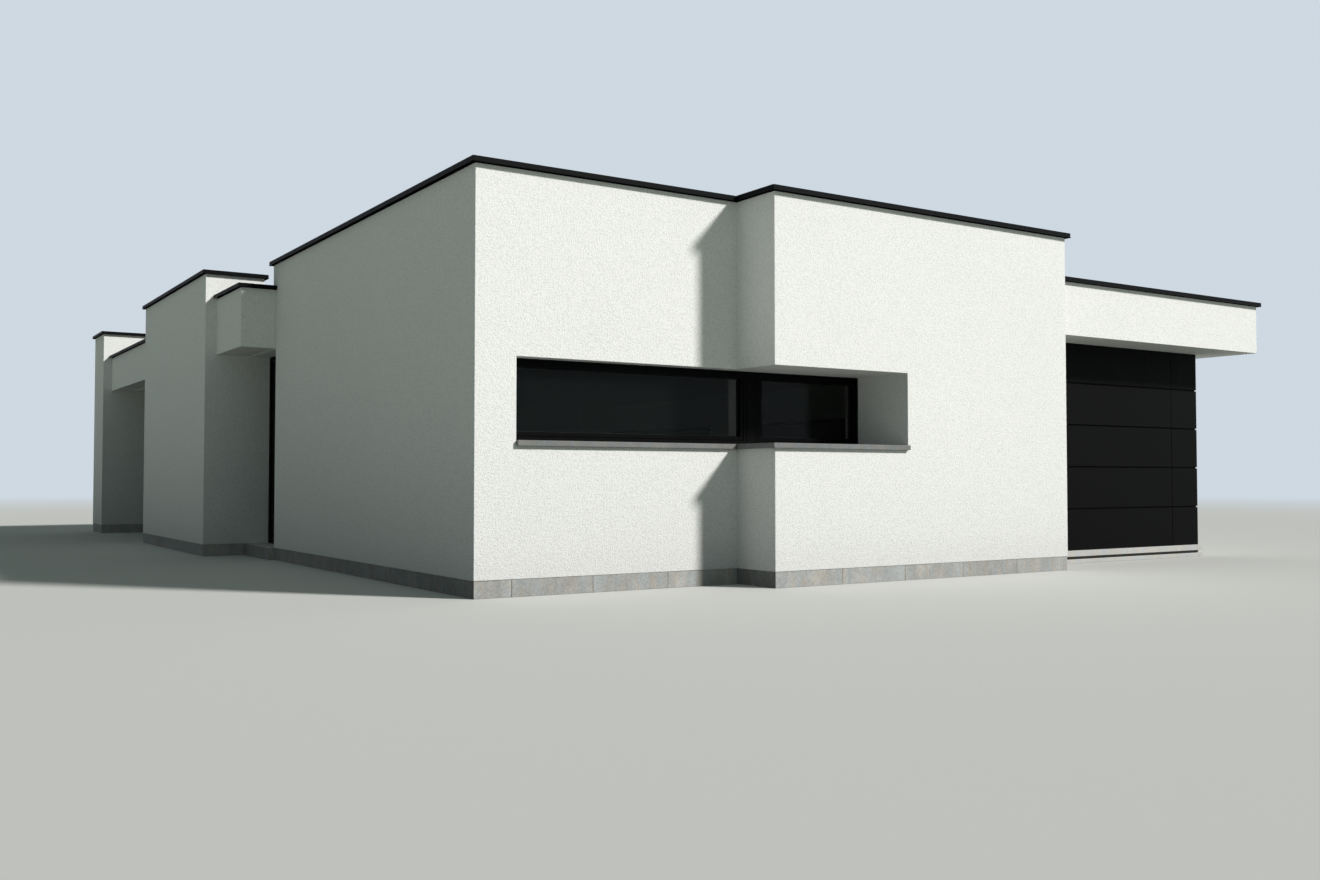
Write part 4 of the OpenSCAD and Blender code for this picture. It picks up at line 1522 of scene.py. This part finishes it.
@dataclass
class FlatRoofs(SubAssembly):
    """The roofs: membrane with lapped seams, turned up at the walls under a clamping bar, and outlets."""

    edge: float = 2 * MM
    sheet: float = 1000 * MM
    lap: float = 90 * MM
    lap_t: float = 4 * MM
    lap_end: float = 10 * MM
    # How far a lap's foot lies in the membrane
    sink: float = 0.5 * MM
    bead: float = 14 * MM
    bead_t: float = 3 * MM
    upturn: float = 180 * MM
    upturn_t: float = 8 * MM
    bar: float = 28 * MM
    bar_t: float = 4 * MM
    # How far the bar's middle lies below the upturn's top
    bar_down: float = 20 * MM
    screw_pitch: float = 300 * MM
    screw_end: float = 60 * MM
    screw_radius: float = 6 * MM
    screw_t: float = 4 * MM
    screw_sink: float = 1 * MM
    outlet_inset: float = 600 * MM
    basket_radius: float = 70 * MM
    basket_height: float = 80 * MM
    basket_foot: float = 2 * MM
    basket_bar: float = 2.5 * MM
    basket_bars: int = 20
    strip_seed: int = 3
    lengths: Lengths = field(default_factory=lambda: Lengths("roof_strips"))
    fixings: Fixings = field(default_factory=lambda: Fixings("bar_screws"))
    basket: Basket = field(default_factory=lambda: Basket("outlet_baskets"))

    def build(self) -> None:
        """Makes the roofs' pieces."""
        membrane = self.dress(
            "roof_membrane_sheets", "roof_membranes", ROOF_SHEET, "roof_membrane", self.edge
        )
        loops = self.loops(membrane)
        laps = [lap for loop in loops for lap in self.lap_lines(loop)]
        beside = Vector(((self.lap + self.bead) / 2, 0.0, (self.bead_t - self.lap_t) / 2))
        beads = [(a + beside, b + beside) for a, b in laps]
        level = self.upturn - self.bar_down
        face = self.upturn_t + self.bar_t
        upturns = self.wall_lines(loops, self.upturn_t / 2, self.upturn / 2)
        bars = self.wall_lines(loops, face - self.bar_t / 2, level)
        screws = self.wall_lines(loops, face - self.screw_sink + self.screw_t / 2, level, self.screw_end)
        for name, runs, finish, width, height in (
            ("roof_laps", laps, ROOF_SHEET, self.lap, self.lap_t),
            ("roof_lap_beads", beads, BITUMEN, self.bead, self.bead_t),
            ("roof_upstands", upturns, ROOF_SHEET, self.upturn_t, self.upturn),
            ("roof_clamping_bars", bars, BAR_METAL, self.bar_t, self.bar),
        ):
            strips = self.lengths.grow(name, runs, finish, Width=width, Height=height, Seed=self.strip_seed)
            self.keep(strips, "roof_membrane")
        heads = self.fixings.grow(
            "clamping_bar_screws", screws, BAR_METAL,
            Spacing=self.screw_pitch, Radius=self.screw_radius, Height=self.screw_t,
        )
        self.keep(heads, "roof_membrane")
        self.outlets(loops)

    def loops(self, membrane: bpy.types.Object) -> list[list[Vector]]:
        """The outlines of the membranes' top faces, as corners that run anticlockwise."""
        tops = [face for face in membrane.data.polygons if face.normal.z > 0.5]
        return [[membrane.data.vertices[i].co.copy() for i in face.vertices] for face in tops]

    def wall_lines(
        self, loops: Sequence[Sequence[Vector]], off: float, rise: float, end: float | None = None
    ) -> list[Run]:
        """Lines along the walls around the roofs.

        Args:
            loops: The roofs' outlines.
            off: How far the lines lie from the walls.
            rise: How far they lie above the membrane.
            end: How far from the corners they stop. Without it they run until two walls' lines meet.

        Returns:
            The start and end of each line.
        """
        lines = []
        for loop in loops:
            for i in range(len(loop)):
                before, a, b, after = (loop[(i + step) % len(loop)] for step in (-1, 0, 1, 2))
                along = (b - a).normalized()
                shift = Vector((-along.y * off, along.x * off, rise))
                first = math.copysign(off, (a - before).cross(along).z) if end is None else end
                last = math.copysign(off, along.cross(after - b).z) if end is None else end
                lines.append((a + shift + along * first, b + shift - along * last))
        return lines

    def lap_lines(self, loop: Sequence[Vector]) -> list[Run]:
        """Where the seams lie: lines from front to back, a sheet's width apart, inside the outline.

        Args:
            loop: The outline.

        Returns:
            The start and end of each line.
        """
        low, high = min(p.x for p in loop), max(p.x for p in loop)
        z = loop[0].z + self.lap_t / 2 - self.sink
        lines = []
        for i in range(1, int((high - low) / self.sheet) + 1):
            x = low + i * self.sheet
            hits = sorted(
                p.y + (q.y - p.y) * (x - p.x) / (q.x - p.x)
                for p, q in zip(loop, [*loop[1:], loop[0]]) if min(p.x, q.x) < x < max(p.x, q.x)
            )
            for y0, y1 in zip(hits[::2], hits[1::2]):
                lines.append((Vector((x, y0 + self.lap_end, z)), Vector((x, y1 - self.lap_end, z))))
        return lines

    def outlets(self, loops: Sequence[Sequence[Vector]]) -> None:
        """Makes the leaf baskets of the outlets, two for each roof.

        Args:
            loops: The roofs' outlines.
        """
        spots = []
        inset = self.outlet_inset
        for loop in loops:
            x = max(p.x for p in loop) - inset
            z = loop[0].z + self.basket_foot + self.basket_height / 2
            for y in (min(p.y for p in loop) + 2 * inset, max(p.y for p in loop) - inset):
                spots.append([Vector((x, y, z))])
        baskets = self.basket.grow(
            "roof_outlet_baskets", spots, BAR_METAL,
            Radius=self.basket_radius, Height=self.basket_height, Bar=self.basket_bar, Bars=self.basket_bars,
        )
        self.keep(baskets, "roof_membrane")


@dataclass
class Rooms(SubAssembly):
    """Floors, ceilings and the rendered soffits of the two recesses."""

    floor_edge: float = 2 * MM
    board: float = 8 * MM
    board_edge: float = 1 * MM
    door_gap: float = 10 * MM

    def build(self) -> None:
        """Dresses floors and ceilings and makes the soffits of the recesses."""
        self.dress("floor_screeds", "floor_slabs", SCREED, "concrete_floor", self.floor_edge)
        paint(ROOM_PLASTER, "front_roof_slab", "rear_roof_slab", "garage_roof_slab")
        self.soffits()

    def soffits(self) -> None:
        """Makes the rendered soffits over the entrance and the terrace, under the rear roof slab."""
        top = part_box("rear_roof_slab")[0].z
        foot = top - self.board
        canopy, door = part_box("entrance_canopy"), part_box("entrance_door_frame")
        lintel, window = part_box("terrace_lintel"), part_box("terrace_window_frame")
        boards = Solid()
        boards.box((canopy[1].x, canopy[0].y, foot), (door[0].x - self.door_gap, canopy[1].y, top))
        boards.box((lintel[1].x, lintel[0].y, foot), (window[0].x, lintel[1].y, top))
        self.keep(soften(boards.piece("recess_soffits", WALL_RENDER), self.board_edge, 1), "white_render")


# The stage


@dataclass(frozen=True)
class Viewpoint:
    """The photo's camera: about a metre above the ground, off the front block's corner and nearly level."""

    place: tuple[float, float, float] = (-9.3705, -17.0853, 1.01)
    # In degrees
    turn: tuple[float, float, float] = (91.778, 0.0, -33.171)
    # In millimetres
    lens: float = 33.33
    sensor: float = 36.0
    clip: Span = (0.1, 2000.0)

    def build(self) -> None:
        """Makes the camera."""
        data = bpy.data.cameras.new("photo_view")
        data.lens, data.sensor_width, data.sensor_fit = self.lens, self.sensor, "HORIZONTAL"
        data.clip_start, data.clip_end = self.clip
        camera = placed("photo_view", data)
        camera.location = self.place
        camera.rotation_euler = [math.radians(angle) for angle in self.turn]
        bpy.context.scene.camera = camera


@dataclass(frozen=True)
class Studio:
    """A plain pale floor that fades into a pale backdrop, a soft key light and an even fill.

    The floor throws less light back at the house than it shows, and least close to the walls.
    """

    backdrop: Colour = (0.62, 0.69, 0.76)
    floor: Colour = (0.60, 0.60, 0.585)
    floor_bounce: Colour = (0.41, 0.44, 0.40)
    foot_bounce: Colour = (0.05, 0.05, 0.055)
    # How far from the walls the foot's bounce turns into the floor's
    foot: Span = (0.4, 1.9)
    fill: Colour = (0.82, 1.0, 0.96)
    fill_level: float = 0.195
    key: Colour = (1.0, 0.985, 0.955)
    key_level: float = 3.92
    # How soft the key light is, in degrees, and its fall over a level distance of about 1
    key_spread: float = 7.0
    key_slope: float = 0.674
    # How far from the middle the floor fades
    fade: Span = (16.0, 60.0)
    reach: float = 900.0
    facets: int = 96
    drop: float = 0.5 * MM

    def build(self) -> None:
        """Makes the floor, the world and the key light."""
        scene = bpy.context.scene
        scene.view_settings.view_transform = "Standard"
        scene.world = self.world()
        self.ground()
        data = bpy.data.lights.new("key_light", "SUN")
        data.energy, data.color, data.angle = self.key_level, self.key, math.radians(self.key_spread)
        path = -Vector(SUNNY_SIDE) - Vector((0.0, 0.0, self.key_slope))
        placed("key_light", data).rotation_euler = path.to_track_quat("-Z", "Y").to_euler()

    def seen(self, graph: Graph) -> bpy.types.Node:
        """A value that is 1 for what the camera sees, directly, in gloss or through glass.

        Args:
            graph: The tree.

        Returns:
            The node.
        """
        path = graph.node("ShaderNodeLightPath")
        both = graph.math("MAXIMUM", path.outputs["Is Camera Ray"], path.outputs["Is Glossy Ray"])
        return graph.math("MAXIMUM", both, path.outputs["Is Transmission Ray"])

    def world(self) -> bpy.types.World:
        """Makes the world: the backdrop for the camera, the fill for everything else.

        Returns:
            The world.
        """
        world = bpy.data.worlds.new("plain_backdrop")
        world.use_nodes = True
        world.node_tree.nodes.clear()
        graph = Graph(world.node_tree)
        fill = graph.node("ShaderNodeBackground", {0: shade(self.fill), 1: self.fill_level})
        pale = graph.node("ShaderNodeBackground", {0: shade(self.backdrop), 1: 1.0})
        mixed = graph.node("ShaderNodeMixShader", {0: self.seen(graph), 1: fill, 2: pale})
        graph.node("ShaderNodeOutputWorld", {0: mixed})
        return world

    def ground(self) -> None:
        """Makes the floor."""
        mesh = bpy.data.meshes.new("pale_floor")
        with opened(mesh) as body:
            bmesh.ops.create_circle(body, cap_ends=True, segments=self.facets, radius=self.reach)
        mesh.transform(Matrix.Translation((0.0, 0.0, -self.drop)))
        mesh.materials.append(self.floor_material())
        floor = placed("pale_floor", mesh)

    def floor_material(self) -> bpy.types.Material:
        """Makes the floor's material, which fades into the backdrop far from the house.

        Returns:
            The material.
        """
        material = bpy.data.materials.new("pale_floor")
        material.use_nodes = True
        material.node_tree.nodes.clear()
        graph = Graph(material.node_tree)
        place = graph.node("ShaderNodeTexCoord").outputs["Object"]
        half = tuple((high - low) / 2 for low, high in zip(*CAD_BOX))
        beyond = graph.vector("SUBTRACT", graph.vector("ABSOLUTE", place), half)
        past = graph.node("ShaderNodeSeparateXYZ", {0: beyond})
        away = graph.remap(graph.math("MAXIMUM", past.outputs["X"], past.outputs["Y"]), self.foot)
        bounce = graph.blend(away, shade(self.foot_bounce), shade(self.floor_bounce))
        tone = graph.blend(self.seen(graph), bounce, shade(self.floor))
        matt = graph.node("ShaderNodeBsdfDiffuse", {0: tone})
        pale = graph.node("ShaderNodeEmission", {0: shade(self.backdrop), 1: 1.0})
        far = graph.remap(graph.vector("LENGTH", place).outputs["Value"], self.fade)
        mixed = graph.node("ShaderNodeMixShader", {0: graph.times(far, self.seen(graph)), 1: matt, 2: pale})
        graph.node("ShaderNodeOutputMaterial", {0: mixed})
        return material


def main() -> None:
    """Builds the camera, every sub-assembly and the stage, in order."""
    logging.basicConfig(level=logging.INFO, format="%(message)s")
    Viewpoint().build()
    assemblies: list[SubAssembly] = [
        WallShells(), Stonework(), Copings(), Windows(), GarageFront(), EntranceDoor(), FlatRoofs(), Rooms(),
    ]
    for assembly in assemblies:
        assembly.build()
    Studio().build()


if __name__ == "__main__":
    main()
